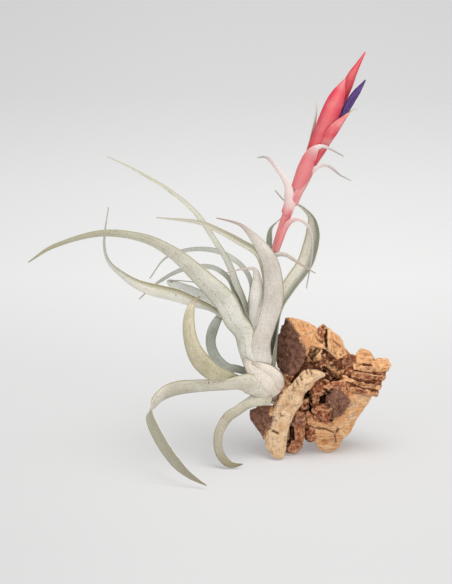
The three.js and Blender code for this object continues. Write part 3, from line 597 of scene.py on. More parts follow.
tan = bark.layers((0.86, 0.41, 0.175), (blotch, 0.36, 0.64, 1, (1.0, 0.61, 0.31)),
                  (grain, 0.52, 0.34, 0.75, (0.42, 0.17, 0.07)))
red = bark.layers((0.30, 0.075, 0.035), (blotch, 0.36, 0.64, 1, (0.60, 0.21, 0.095)),
                  (grit, 0.56, 0.70, 0.7, (0.70, 0.40, 0.23)))
pale = bark.layers((0.74, 0.45, 0.24), (blotch, 0.34, 0.62, 1, (0.92, 0.70, 0.46)),
                   (grain, 0.50, 0.30, 0.7, (0.46, 0.25, 0.13)))
dark = bark.layers((0.11, 0.045, 0.032), (blotch, 0.36, 0.64, 1, (0.29, 0.13, 0.088)),
                   (grit, 0.50, 0.70, 0.55, (0.42, 0.25, 0.18)))
uneven = bark.calc("SUBTRACT", bark.calc("ADD", grit, blotch), 1.0)


def ragged(name, amount):
    """A painted share with its border broken up by the grit and the blotches."""
    return bark.calc("MULTIPLY_ADD", uneven, amount, bark.painted(name))


off_bark = bark.calc("MULTIPLY_ADD", bark.painted("dark_bark"), -0.45, 0.55)
broken = bark.calc("MULTIPLY_ADD", bark.painted("red_seam"), 0.7, 0.12)
bark.shade(Base_Color=bark.layers(
    tan,
    (ragged("pale_worn", 0.9), 0.36, 0.62, 1, pale),
    (ragged("red_seam", 1.5), 0.36, 0.62, 1, red),
    (ragged("dark_bark", 2.6), 0.36, 0.62, 1, dark),
    # Convex edges get a painted highlight, less of it on the dark bark.
    (bark.painted("edge_highlight"), 0, 1, off_bark, (0.90, 0.60, 0.34)),
    (flecks, 0.44, 0.33, 0.62, (0.20, 0.075, 0.04)),
    (flecks, 0.60, 0.72, off_bark, (0.94, 0.72, 0.48)),
    # Painted shade in the cracks and hollows.
    (bark.painted("crevice_shade"), 0, 1, 0.8, (0.07, 0.028, 0.016)),
    (pits, 0.36, 0.26, 0.55, (0.16, 0.07, 0.04)),
    (bark.painted("fragment"), 0.55, 0.15, broken, (0.52, 0.36, 0.30), "MULTIPLY"),
))
relief = bark.calc("MULTIPLY_ADD", grain, 0.5, bark.calc("MULTIPLY_ADD", pits, 0.4, grit))
bark.bump(relief, distance=0.85, strength=1.0)


def show_as(piece, look, node):
    """Gives a finished piece its material and ties it to the node that it stands for."""
    piece.data.materials.clear()
    piece.data.materials.append(look.material)
    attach(piece, "root")
    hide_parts(node)


show_as(cork, bark, "cork_bark")


# The stem is a short woody stub inside the bulb. It shows only in the gaps between the sheaths,
# so the solid of the model stays, with a dry fibrous finish.
husk = Look("old_stem", roughness=0.9)
fibres = husk.noise(husk.add("TexCoord").outputs["Object"], (1400, 1400, 160), 4.0, 0.6)
husk.shade(Base_Color=husk.layers((0.26, 0.17, 0.10), (fibres, 0.35, 0.65, 1, (0.52, 0.42, 0.30))))
husk.bump(fibres, distance=0.3, strength=0.7)
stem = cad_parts["stem"]
stem.data.materials.clear()
stem.data.materials.append(husk.material)


# The leaves are thick channels that clasp the stem one inside another, so that their pale sheaths
# make the bulb. Each tapers to a thread. They are covered in tiny silver scales, which let the
# green through where they are rubbed off.
class Curve:
    """A smooth curve through points, by centripetal Catmull-Rom pieces, as the solids have it."""

    LOOKUPS = 200
    NEAR = 1e-4
    TINY = 1e-9

    def __init__(self, points):
        self.points = [Vector(point) for point in points]
        self.lengths = [0.0]
        steps = [self.at(step / self.LOOKUPS) for step in range(self.LOOKUPS + 1)]
        for first, second in zip(steps, steps[1:]):
            self.lengths.append(self.lengths[-1] + (second - first).length)

    def at(self, share):
        last = len(self.points) - 1
        place = held(share) * last
        start = min(int(place), last - 1)
        rest = place - start
        p1, p2 = self.points[start], self.points[start + 1]
        p0 = self.points[start - 1] if start else 2 * p1 - p2
        p3 = self.points[start + 2] if start + 2 <= last else 2 * p2 - p1
        gaps = [max((b - a).length, self.TINY) ** 0.5 for a, b in ((p0, p1), (p1, p2), (p2, p3))]
        chord = (p2 - p1) / gaps[1]
        leave = ((p1 - p0) / gaps[0] - (p2 - p0) / (gaps[0] + gaps[1]) + chord) * gaps[1]
        arrive = (chord - (p3 - p1) / (gaps[1] + gaps[2]) + (p3 - p2) / gaps[2]) * gaps[1]
        bend = -3 * p1 + 3 * p2 - 2 * leave - arrive
        turn = 2 * p1 - 2 * p2 + leave + arrive
        return p1 + leave * rest + bend * rest**2 + turn * rest**3

    def heading(self, share):
        near, far = max(0.0, share - self.NEAR), min(1.0, share + self.NEAR)
        return (self.at(far) - self.at(near)).normalized()

    def share_at(self, length):
        """The share of the curve's run at a length along it."""
        for index, reached in enumerate(self.lengths):
            if reached >= length:
                before = self.lengths[index - 1] if index else 0.0
                part = (length - before) / max(reached - before, self.TINY)
                return max(0.0, (index - 1 + part) / self.LOOKUPS)
        return 1.0


def value_along(values, share):
    place = held(share) * (len(values) - 1)
    start = min(int(place), len(values) - 2)
    return values[start] + (values[start + 1] - values[start]) * (place - start)


def out_from(heading, degrees):
    """The direction round a stalk: 0 right, 90 away from the viewer, 180 left, 270 towards it."""
    right = (Vector((1, 0, 0)) - heading * heading.x).normalized()
    away = heading.cross(right)
    return right * math.cos(math.radians(degrees)) + away * math.sin(math.radians(degrees))


STEM_CURVE = Curve([spot(*place) for place in (
    (-15, 38, -3), (-24, 42, -6), (-30, 52, -8), (-32, 66, -8), (-31, 81, -7), (-28, 95, -6))])
STEM_RADII = (5.5, 6.5, 6.5, 6, 4.8, 3.2)
CLEARANCE = 0.3
SHEATH_THICK = 0.8
SHEATH_SLOPE = 0.26
SHEATH_LENGTH = 14
SHEATH_REACH = math.radians(66)
SHEATH_STATIONS = (0, 0.5, 1)
CURL_BASE = math.radians(48)
CURL_TIP = math.radians(24)
EDGE_THICK = 0.48
BLADE_THICK = (0.8, 1.6)
THICK_PER_WIDTH = 0.15
MIN_RADIUS_PER_THICK = 1.3
CELLS_ACROSS = 12
MIN_CELLS_ALONG = 16
CELL_ALONG = 1.6 * MM
# The blade wavers by this much, and less where it is narrower than this. Its noise turns so often
# along its share of the blade, across it and along its length.
WAVER = 0.22
WAVER_WIDTH = 6
WAVER_TURNS = (45, 1.3, 90)
# The blade's own map runs across it once, and along it once for each of these lengths.
MAP_LENGTH = 0.1


def blade_course(curve, radii, stations, seat=0, side=0, reach=SHEATH_REACH, sheath=SHEATH_LENGTH,
                 slope=SHEATH_SLOPE, stand=0, curl=CURL_BASE):
    """The middle line of a blade from its sheath to its tip, which way its channel faces, and its
    width, curl and thickness along the way."""
    seat_radius = value_along(radii, seat * MM / curve.lengths[-1]) + CLEARANCE + SHEATH_THICK
    centres, facings, forms = [], [], []
    for part in SHEATH_STATIONS if sheath else ():
        at = curve.share_at((seat + part * sheath) * MM)
        out = out_from(curve.heading(at), side)
        radius = seat_radius + stand + slope * part * sheath
        centres.append(curve.at(at) + out * radius * MM)
        facings.append(-out)
        forms.append((2 * radius * math.sin(reach), reach, SHEATH_THICK))
    clasped = len(centres)
    path = Curve(centres + [spot(*station[:3]) for station in stations])
    for index, (_, _, _, width, *roll) in enumerate(stations):
        heading = path.heading((index + clasped) / (len(path.points) - 1))
        reference = -VIEW_AHEAD if roll else Vector((0, 0, 1))
        front = (reference - heading * heading.dot(reference)).normalized()
        angle = math.radians(roll[0]) if roll else 0.0
        facings.append(front * math.cos(angle) + heading.cross(front) * math.sin(angle))
        share = index / (len(stations) - 1)
        thick = min(max(width * THICK_PER_WIDTH, BLADE_THICK[0]), BLADE_THICK[1])
        forms.append((width, curl * (1 - share) + CURL_TIP * share, thick))
    return path, Curve(facings), Curve(forms)


def blade(name, curve, radii, shape):
    """A channelled blade with its sheath: a grid bent to its stations, thickened towards the
    channel, rounded, and marked with how far along it each point is."""
    path, turned, formed = blade_course(curve, radii, **shape)
    total = path.lengths[-1]
    cells = max(MIN_CELLS_ALONG, round(total / CELL_ALONG))
    rows = []
    for row in range(cells + 1):
        share = path.share_at(total * row / cells) if 0 < row < cells else row / cells
        width, curl, thick = formed.at(share)
        heading = path.heading(share)
        side = turned.at(share).cross(heading).normalized()
        inward = heading.cross(side).normalized()
        tightest = math.asin(min(1.0, width / (2 * MIN_RADIUS_PER_THICK * thick)))
        rows.append((share, path.at(share), side, inward, width, min(curl, tightest), thick))

    bpy.ops.object.select_all(action="DESELECT")
    bpy.ops.mesh.primitive_grid_add(x_subdivisions=CELLS_ACROSS, y_subdivisions=cells, size=2.0)
    made = bpy.context.object
    made.name = name
    thickness = made.vertex_groups.new(name="thickness")
    spans = []
    for vertex in made.data.vertices:
        across = vertex.co.x
        row = round((vertex.co.y + 1) / 2 * cells)
        share, centre, side, inward, width, curl, thick = rows[row]
        radius = width / 2 / math.sin(curl)
        angle = curl * across
        place = [turns * run for turns, run in zip(WAVER_TURNS, (share * total, across, total))]
        wavy = radius + WAVER * noise.noise(Vector(place)) * min(1, width / WAVER_WIDTH)
        bent = side * wavy * math.sin(angle) + inward * (radius - wavy * math.cos(angle))
        vertex.co = centre + bent * MM
        there = EDGE_THICK + (thick - EDGE_THICK) * (1 - across * across)
        thickness.add([vertex.index], there / BLADE_THICK[1], "REPLACE")
        spans.append((share, across, total * row / cells))
    layer = made.data.uv_layers.active.data
    for loop in made.data.loops:
        _, across, run = spans[loop.vertex_index]
        layer[loop.index].uv = (0.5 + across / 2, run / MAP_LENGTH)
    paint(made.data, "tipward", [share for share, _, _ in spans])
    outer = len(made.data.vertices)

    solidify = made.modifiers.new("thickness", "SOLIDIFY")
    solidify.thickness = BLADE_THICK[1] * MM
    solidify.offset = -1
    solidify.vertex_group = "thickness"
    bpy.ops.object.modifier_apply(modifier=solidify.name)
    paint(made.data, "channel", [float(vertex.index >= outer) for vertex in made.data.vertices])
    rounded = made.modifiers.new("rounded", "SUBSURF")
    rounded.levels = rounded.render_levels = 1
    bpy.ops.object.modifier_apply(modifier=rounded.name)
    made.vertex_groups.clear()
    bpy.ops.object.shade_smooth()
    return made


# The scales are an effect that the leaves and the bracts of the stalk share: fine speckled silver
# over the green, in lines that run along the blade.
scales = Nodes(bpy.data.node_groups.new("silver_scales", "ShaderNodeTree"))
for label in ("Place", "Blade"):
    scales.tree.interface.new_socket(label, in_out="INPUT", socket_type="NodeSocketVector")
for label in ("Cover", "Lines", "Streaks", "Dashes", "Grain", "Relief", "Specks"):
    scales.tree.interface.new_socket(label, in_out="OUTPUT", socket_type="NodeSocketFloat")
given = scales.tree.nodes.new("NodeGroupInput").outputs
place, along = given["Place"], given["Blade"]
patches = scales.noise(place, 70, 4.0, 0.55)
cells = scales.texture("TexVoronoi", place, (2600, 2600, 2600))["Distance"]
veins = scales.noise(along, (34, 5, 1), 3.0, 0.6)
specks = scales.noise(place, 620, 2.0, 0.6)
dashes = scales.noise(along, (9, 42, 1), 2.0, 0.6)
scales.fill(
    scales.tree.nodes.new("NodeGroupOutput"),
    Cover=scales.calc("MULTIPLY_ADD", patches, 0.75, scales.calc("MULTIPLY", veins, 0.30)),
    Lines=veins,
    Streaks=scales.noise(along, (70, 7, 1), 4.0, 0.65),
    Dashes=scales.mask(dashes, 0.50, 0.60),
    Grain=scales.noise(place, 1150, 3.0, 0.6),
    Relief=scales.calc("MULTIPLY_ADD", veins, 1.2, scales.calc("MULTIPLY", cells, 0.5)),
    Specks=scales.mask(specks, 0.67, 0.73),
)


def scaled(look):
    """The shared effect on a blade, and how far across the blade each place is."""
    here = look.add("TexCoord").outputs
    made = look.add("Group", {"node_tree": scales.tree}, Place=here["Object"], Blade=here["UV"])
    return made.outputs, look.add("SeparateXYZ", Vector=here["UV"]).outputs["X"]


def off_line(look, across, line):
    """How far off a line along the blade each place is, as a share of the blade's width."""
    return look.calc("ABSOLUTE", look.calc("SUBTRACT", across, line))


BORDER_SWAY = 0.12
STREAK_DARK = (0.66, 0.64, 0.52)
STREAK_LIGHT = (0.88, 0.86, 0.78)
FOOT_SHADE = (0.24, 0.24, 0.16)
GRAIN_DARK = (0.82, 0.80, 0.72)
FOLD_SHADE = (0.60, 0.57, 0.44)
SPECK = (0.20, 0.14, 0.08)
CREASE_DARK = (0.24, 0.16, 0.10)


def silver_leaf(name, felt, green, channel, tip, tip_from, specks, crease=None, margin=(0.42, 0.41, 0.27),
                foot_shade=0.35, shaded_side=None, edge=0.45, rim=(0.86, 0.83, 0.72)):
    """A leaf's finish: grainy felt over green, olive margins with a thin rim and a line of painted shade
    inside it, a channel, a tip, painted shade at its foot, a crease of dashes, and painted shade along the
    side that turns from the light."""
    look = Look(name, roughness=0.72, specular=0.3)
    look.shade(Sheen_Weight=0.25, Sheen_Roughness=0.5)
    felted, across = scaled(look)
    sway = look.calc("SUBTRACT", felted["Cover"], 0.5)
    swayed = look.calc("MULTIPLY_ADD", sway, BORDER_SWAY, across)
    from_middle = off_line(look, swayed, 0.5)
    tipward = look.painted("tipward")
    colour = look.layers(
        green,
        (felted["Cover"], 0.42, 0.66, 1, felt),
        (look.painted("channel"), 0.35, 0.85, 0.8, channel),
        (felted["Lines"], 0.44, 0.30, 0.35, green),
    )
    # Painted shade along one side of the blade, where it turns from the light.
    if shaded_side:
        shade_from, shade_full, shade_tone = shaded_side
        colour = look.layers(colour, (swayed, shade_from, shade_full, 1, shade_tone))
    colour = look.layers(
        colour,
        (felted["Streaks"], 0.47, 0.32, 0.7, STREAK_DARK, "MULTIPLY"),
        (felted["Streaks"], 0.60, 0.74, 0.55, STREAK_LIGHT),
        (from_middle, 0.36, 0.45, edge, margin),
        (tipward, tip_from, 1.0, 1, tip),
        # Painted shade at the foot, where the leaves crowd into the bulb.
        (tipward, 0.44, 0.16, foot_shade, FOOT_SHADE),
        (felted["Grain"], 0.53, 0.37, 1, GRAIN_DARK, "MULTIPLY"),
        # A line of painted shade just inside the rim, where the blade folds.
        (from_middle, 0.425, 0.46, 1, FOLD_SHADE, "MULTIPLY"),
        (from_middle, 0.474, 0.496, 0.75, rim),
        (felted["Specks"], 0, 1, specks, SPECK),
    )
    if crease:
        broken = look.calc("MULTIPLY_ADD", felted["Dashes"], 0.62, 0.12)
        line = off_line(look, swayed, crease)
        colour = look.layers(colour, (line, 0.026, 0.008, broken, CREASE_DARK))
    look.shade(Base_Color=colour)
    look.bump(felted["Relief"], distance=0.16, strength=0.7)
    return look


LEAF_LOOKS = {
    "pale_leaf": dict(felt=(0.84, 0.82, 0.76), green=(0.66, 0.65, 0.57), channel=(0.40, 0.40, 0.31),
        tip=(0.42, 0.39, 0.25), tip_from=0.42, specks=0.8, crease=0.42, margin=(0.40, 0.37, 0.22),
        foot_shade=0.0),
    "grey_leaf": dict(felt=(0.74, 0.74, 0.70), green=(0.54, 0.55, 0.48), channel=(0.52, 0.54, 0.49),
        tip=(0.40, 0.40, 0.37), tip_from=0.62, specks=0.5, margin=(0.32, 0.33, 0.24), foot_shade=0.7, edge=0.6),
    "olive_leaf": dict(felt=(0.68, 0.61, 0.47), green=(0.50, 0.46, 0.30), channel=(0.68, 0.65, 0.56),
        tip=(0.24, 0.17, 0.10), tip_from=0.86, specks=0.8, crease=0.62, foot_shade=0.2),
    "blushed_leaf": dict(felt=(0.76, 0.71, 0.66), green=(0.62, 0.57, 0.51), channel=(0.40, 0.38, 0.30),
        tip=(0.46, 0.32, 0.28), tip_from=0.68, specks=0.4, margin=(0.44, 0.39, 0.31), foot_shade=0.0),
    "speckled_leaf": dict(felt=(0.74, 0.70, 0.63), green=(0.54, 0.51, 0.42), channel=(0.38, 0.37, 0.27),
        tip=(0.36, 0.31, 0.23), tip_from=0.78, specks=1.0, crease=0.72, foot_shade=0.0, edge=0.6),
    "olive_tip_leaf": dict(felt=(0.76, 0.71, 0.63), green=(0.54, 0.50, 0.39), channel=(0.48, 0.46, 0.33),
        tip=(0.20, 0.17, 0.09), tip_from=0.16, specks=0.8, crease=0.68, foot_shade=0.0, edge=0.6),
    "channelled_leaf": dict(felt=(0.72, 0.71, 0.64), green=(0.56, 0.55, 0.45), channel=(0.66, 0.64, 0.56),
        tip=(0.46, 0.42, 0.34), tip_from=0.55, specks=0.9, margin=(0.40, 0.39, 0.27), foot_shade=0.5,
        shaded_side=(0.62, 0.42, (0.33, 0.33, 0.22))),
    "hooked_leaf": dict(felt=(0.82, 0.79, 0.69), green=(0.62, 0.60, 0.47), channel=(0.80, 0.77, 0.67),
        tip=(0.46, 0.48, 0.42), tip_from=0.70, specks=0.9, crease=0.44, margin=(0.36, 0.36, 0.22),
        foot_shade=0.5, shaded_side=(0.52, 0.22, (0.30, 0.33, 0.27))),
    # Its felt is a pale cream, painted brighter still to make up for its face turning from the light.
    "bright_leaf": dict(felt=(0.96, 0.94, 0.87), green=(0.84, 0.81, 0.70), channel=(0.50, 0.50, 0.36),
        tip=(0.50, 0.52, 0.48), tip_from=0.58, specks=0.9, margin=(0.34, 0.31, 0.20), foot_shade=0.5, edge=0.85,
        shaded_side=(0.68, 0.86, (0.50, 0.47, 0.33))),
    "slate_leaf": dict(felt=(0.55, 0.57, 0.54), green=(0.36, 0.38, 0.33), channel=(0.50, 0.52, 0.48),
        tip=(0.40, 0.40, 0.34), tip_from=0.76, specks=0.4, margin=(0.24, 0.26, 0.20), foot_shade=0.3),
    "edged_leaf": dict(felt=(0.80, 0.80, 0.74), green=(0.66, 0.66, 0.58), channel=(0.64, 0.65, 0.58),
        tip=(0.44, 0.42, 0.30), tip_from=0.55, specks=0.5, margin=(0.30, 0.31, 0.20), foot_shade=0.5,
        edge=0.85),
    "cream_leaf": dict(felt=(0.88, 0.85, 0.80), green=(0.78, 0.74, 0.69), channel=(0.70, 0.67, 0.61),
        tip=(0.58, 0.46, 0.39), tip_from=0.58, specks=0.4, margin=(0.50, 0.47, 0.38), foot_shade=0.0),
    "dark_leaf": dict(felt=(0.56, 0.57, 0.51), green=(0.38, 0.40, 0.33), channel=(0.28, 0.30, 0.25),
        tip=(0.30, 0.22, 0.16), tip_from=0.72, specks=0.7, margin=(0.22, 0.24, 0.15), foot_shade=0.4, edge=0.3),
    "blue_leaf": dict(felt=(0.84, 0.86, 0.88), green=(0.62, 0.65, 0.62), channel=(0.60, 0.61, 0.57),
        tip=(0.38, 0.34, 0.28), tip_from=0.76, specks=0.4, margin=(0.36, 0.37, 0.27), foot_shade=0.5),
    "papery_sheath": dict(felt=(0.83, 0.75, 0.68), green=(0.69, 0.62, 0.54), channel=(0.56, 0.50, 0.40),
        tip=(0.46, 0.38, 0.30), tip_from=0.72, specks=0.8, crease=0.36, margin=(0.24, 0.17, 0.12),
        foot_shade=0.0, edge=0.8, rim=(0.20, 0.14, 0.09)),
}
leaf_looks = {name: silver_leaf(name, **colours) for name, colours in LEAF_LOOKS.items()}

# Stations run from the sheath to the tip: across, up and depth on the front layout, the width, and
# how the blade is rolled. A blade without a roll faces up. The seat is how far up the stem the
# sheath sits, the side is where round it, and stand and slope set the sheath off from the stem.
LEAVES = [
    # Droops in front of the cork and sweeps the ground.
    ("olive_tip_leaf", dict(sheath=0, stations=[(-23, 36, -16.6, 9, 180), (-31, 37, -20.6, 11, 180),
     (-37.5, 34.5, -22.6, 8.6, 172), (-41.6, 32.2, -23.4, 7.4, 165), (-46.4, 28.7, -25, 7.4, 160),
     (-53.2, 24.3, -29, 8, 157), (-59.4, 14.4, -35, 7.4, 155), (-60.6, 7, -38.5, 6.8, 155),
     (-59.2, -0.9, -42, 7, 155), (-54.7, -7, -45.5, 6.4, 155), (-50.3, -9, -46, 4.4, 155),
     (-43.5, -8.4, -45, 0.9, 150)])),
    # Hangs out of sight behind the cork.
    ("grey_leaf", dict(seat=4, side=60, stations=[(-29, 62, 24, 9), (-21, 65, 40, 9), (-10, 62, 54, 8),
     (2, 55, 68, 6.5), (12, 44, 80, 4), (20, 30, 88, 1)])),
    # Runs left, twists over and comes down towards the viewer.
    ("speckled_leaf", dict(sheath=0, curl=0.75, stations=[(-24.6, 38.6, -18.4, 8, 180),
     (-32, 42.8, -22.8, 12, 178), (-39.2, 47, -25.4, 15, 172), (-46.4, 47.6, -25.4, 10.6, 165),
     (-54, 46.6, -24, 9, 162), (-65, 46, -24.4, 9, 160), (-77, 45.2, -28.4, 10, 158),
     (-88.9, 43.6, -35.4, 11.4, 152), (-98.6, 40, -43.4, 11, 145), (-104.6, 33.8, -51, 9, 128),
     (-107.4, 25.9, -58.6, 9, 58), (-104.3, 17, -65.6, 10, 40), (-98, 5.4, -74, 10.2, 38),
     (-89.4, -6.3, -82.4, 9.6, 38), (-79.9, -15.4, -90, 6.2, 40), (-68.3, -22.5, -97, 1.4, 45)])),
    # The broad front leaf of the column, its tip folded over to the left.
    ("blushed_leaf", dict(seat=10, side=290, reach=0.98, slope=0.05, stand=2.2,
     stations=[(-31.6, 73, -19.4, 15, 180), (-28, 86, -18.6, 13.4, 180), (-23, 103, -18, 15, 180),
     (-22.4, 118, -18, 14, 180), (-25, 132.2, -19, 12.2, 180), (-32.4, 144.6, -20, 8.4, 175),
     (-39, 152.4, -21, 4.8, 170), (-45.2, 157.8, -21, 2.6, 165), (-53, 160.6, -20.6, 1.7, 162),
     (-62, 162.6, -20, 0.9, 160)])),
    # Curls up like a hook on the left, its underside showing.
    ("olive_leaf", dict(seat=6, side=178, sheath=8, curl=0.95, stations=[(-40.6, 45, -11.4, 8.4, 105),
     (-47.7, 48.8, -16, 8.8, 135), (-55.7, 50.6, -24, 11.6, 155), (-64.5, 54.4, -31, 13.6, 160),
     (-72.5, 61.6, -34, 14.2, 160), (-77.2, 68.7, -35, 13, 158), (-80.5, 78.1, -34, 11, 157),
     (-81.8, 87.5, -31, 9.8, 155), (-81.4, 95.6, -27, 8.4, 152), (-80, 101.6, -22, 6.4, 148),
     (-77.4, 106, -16, 3.4, 140), (-73, 108.6, -11, 0.9, 130)])),
    # Straight back and out of sight.
    ("grey_leaf", dict(seat=14, side=90, stations=[(-27, 92, 14, 9), (-24, 108, 24, 9), (-22, 119, 38, 8),
     (-22, 124, 56, 6), (-23, 122, 73, 4), (-24, 116, 86, 1)])),
    # The long front arch to the left.
    ("pale_leaf", dict(seat=18, side=232, stations=[(-42.4, 81.2, -17.2, 15, 172),
     (-48.8, 90, -20, 15.6, 170), (-56, 103.6, -25, 16.6, 165), (-75, 123, -31, 13.4, 160),
     (-91, 137, -36, 10.2, 155), (-111, 147.6, -40, 7.4, 150), (-141, 151.6, -44, 5.6, 145),
     (-176, 142, -46, 3.6, 140), (-192.5, 131.6, -46, 1, 140)])),
    # The small grey hook inside the last one.
    ("slate_leaf", dict(seat=16, side=176, sheath=8, stations=[(-46.9, 56.7, -9, 6.6, 150),
     (-53.9, 57.7, -8, 7.4, 152), (-60.3, 62.2, -5, 7.8, 155), (-64.8, 69, -2, 7.8, 155),
     (-66.6, 76.6, 1, 7.8, 155), (-65.4, 84, 4, 8.2, 155), (-62, 91.5, 8, 7, 155),
     (-57.5, 97.5, 12, 3.8, 150), (-54, 103, 15, 0.9, 150)])),
    # Right and behind, rising past the scape.
    ("hooked_leaf", dict(seat=17, side=20, curl=1, stations=[(-20, 97, 7, 12, -30),
     (-11, 114, 17, 12, -25), (0.6, 131, 26, 12.6, -20), (4.6, 143.5, 29, 12.2, -18),
     (6.4, 155, 29, 10.6, -25), (4.8, 164, 26, 6.4, -45), (-5.6, 173, 18, 2.4, -60),
     (-14, 175, 14, 1.5, -70), (-21, 182.6, 12, 0.9, -80)])),
    # Left, then turned up at the end.
    ("bright_leaf", dict(seat=24, side=184, curl=0.95, stations=[(-52, 86, -3, 9, 90),
     (-64.4, 97, -3, 10.6, 105), (-78.6, 102.6, -2, 12, 130), (-91, 107.2, -1, 13, 135),
     (-106.4, 111.4, -2, 12, 138), (-118, 116, -3, 9.2, 138), (-128.6, 123.2, -4, 6.4, 135),
     (-136.4, 130.6, -4, 4.6, 130), (-139.8, 138.6, -5, 3.4, 125), (-140.4, 147.8, -5, 2.8, 120),
     (-137.2, 170.8, -5, 0.9, 110)])),
    # Back and to the right, behind the last right one.
    ("grey_leaf", dict(seat=22, side=62, stations=[(-22, 98, 14, 8), (-15, 107, 28, 8),
     (-8, 117, 44, 7.4), (0, 128, 60, 6), (4, 138, 74, 4), (5, 146, 86, 1)])),
    # Back-left, foreshortened, its tip turned back.
    ("blue_leaf", dict(seat=30, side=150, stations=[(-56, 94, 10, 9, 40), (-68, 104.6, 18, 9.6, 30),
     (-80, 110.6, 28, 9.4, 25), (-89.6, 114.6, 37, 8, 25), (-95.6, 117.4, 42, 5.4, 40),
     (-91, 119.6, 46, 3.4, 75), (-77, 118.6, 47, 0.9, 90)])),
    # Back-left, low and long, hidden behind the front arch.
    ("grey_leaf", dict(seat=28, side=105, stations=[(-40, 88, 8, 8), (-50, 98, 22, 8),
     (-60, 107, 38, 7.4), (-73, 120, 56, 6), (-85, 130, 70, 4), (-95, 137, 82, 1)])),
    # Left, thin, drooping at the end.
    ("grey_leaf", dict(seat=36, side=184, sheath=12, stations=[(-43.5, 97, 4, 6, 60),
     (-50, 110, 6, 5.4, 50), (-53, 119, 9, 4.8, 40), (-61, 126.4, 14, 4.4, 35), (-70, 128.8, 19, 4.2, 35),
     (-87.5, 126, 25, 3.8, 35), (-105.7, 115.5, 29, 2.4, 40), (-116, 106, 30, 0.9, 50)])),
    # Small inner leaf with a thread tip.
    ("cream_leaf", dict(seat=29, side=250, stations=[(-35, 92, -10.5, 9.6, 180),
     (-34.4, 106, -11.5, 10.4, 180), (-33.6, 119, -12.4, 7, 180), (-35.4, 127, -13, 3.2, 175),
     (-43, 127.4, -13.5, 1.7, 170), (-55, 124.6, -14, 0.8, 170)])),
    # Left and back, a thread at its end.
    ("grey_leaf", dict(seat=39, side=150, sheath=12, stations=[(-39.6, 103, 5, 6.6, 60),
     (-38.4, 116, 7.4, 6, 60), (-43, 127, 12, 5, 45), (-54, 136, 22, 4.8, 35), (-66, 140.4, 31, 4.4, 35),
     (-84, 140, 40, 3.6, 35), (-98, 134.4, 45, 2, 50), (-108.5, 120.4, 46, 0.8, 60)])),
    # Up to the left, a long straight taper.
    ("edged_leaf", dict(seat=44, side=176, sheath=10, stations=[(-44, 104, 1, 7.6, 60),
     (-49, 116, 4, 7.6, 50), (-55, 132, 10, 7, 50), (-64, 147, 18, 6.2, 50), (-76, 165, 27, 5.4, 50),
     (-94, 181, 36, 4.4, 55), (-120, 196.6, 43, 3, 60), (-138.6, 205.8, 46, 0.9, 60)])),
    # Inner leaf bent over to the left, its channel showing.
    ("channelled_leaf", dict(seat=48, side=110, sheath=10, curl=0.95, stations=[(-28.6, 112, 2, 6.4, 40),
     (-29.4, 126, 4, 6.4, 35), (-34, 138, 5.4, 6, 30), (-47, 146.4, 7, 5.8, 32),
     (-60, 153.4, 8.4, 5.2, 36), (-73, 159, 9.4, 4.4, 42), (-104, 163, 11, 0.9, 55)])),
    # The small one tucked behind the scape.
    ("dark_leaf", dict(seat=50, side=40, sheath=10, stations=[(-25.6, 124, 2, 5, -10),
     (-24.8, 140, 3, 4.8, -20), (-24.6, 149, 4, 5, -30), (-23.6, 155, 5, 3.8, -50),
     (-20, 159.4, 6, 1.8, -70), (-14.6, 163.8, 7, 0.8, -80)])),
    # The thin pale one that lies out to the right.
    ("cream_leaf", dict(seat=45, side=275, sheath=10, slope=0.1, stations=[(-25.6, 116, -10, 5, 180),
     (-24.6, 130, -10.5, 4.6, 180), (-20.6, 136.6, -11, 4.2, -155), (-14.6, 137, -12, 3.6, -145),
     (-7, 132.6, -13, 2.8, -140), (7, 124, -15, 0.9, -130)])),
]

for number, (look, shape) in enumerate(LEAVES, 1):
    leaf = blade(f"plant_leaf_{number:02d}", STEM_CURVE, STEM_RADII, shape)
    show_as(leaf, leaf_looks[look], f"leaf_{number:02d}")


# The bulb is filled out by the pale papery sheaths of leaves that are gone.
BULB_SHEATHS = [
    # The broad old one in the middle of the bulb, its dry tip at the upper left.
    ("papery_sheath", dict(sheath=0, curl=1.2, stations=[(-20.5, 38.5, -14.4, 11, 180),
     (-24.4, 43, -19.2, 14.4, 180), (-29.4, 49.6, -22.2, 15.4, 180), (-35.6, 56.2, -21.8, 12.6, 178),
     (-40.4, 61.8, -19.6, 6.6, 175), (-43, 65.4, -17.6, 1.6, 170)])),
    # A collar inside it, round the foot of the column.
    ("papery_sheath", dict(sheath=0, curl=1.1, stations=[(-18.6, 42.4, -13, 10, 180),
     (-20.4, 49.6, -17.4, 13, 180), (-25.4, 55.6, -20, 11, 180), (-31.5, 59.4, -20.8, 7, 178),
     (-37.6, 62, -20.2, 2, 176)])),
]

for number, (look, shape) in enumerate(BULB_SHEATHS, 1):
    sheath = blade(f"bulb_sheath_{number}", STEM_CURVE, STEM_RADII, shape)
    show_as(sheath, leaf_looks[look], f"bulb_sheath_{number}")


# The flower stalk is a smooth coral rod, thickest where the spike starts. It comes straight out of
# the innermost leaves, and it runs on inside the spike.
SCAPE_CURVE = Curve([spot(*place) for place in (
    (-27.6, 97, -6), (-25, 118, -5), (-21, 142, -4), (-11.4, 169, -4), (-3.8, 188, -5),
    (6.8, 210, -6), (15.4, 228, -6), (23, 245, -6))])
SCAPE_RADII = (3, 2.6, 2.3, 3.3, 3.4, 4.4, 3.2, 1.2)


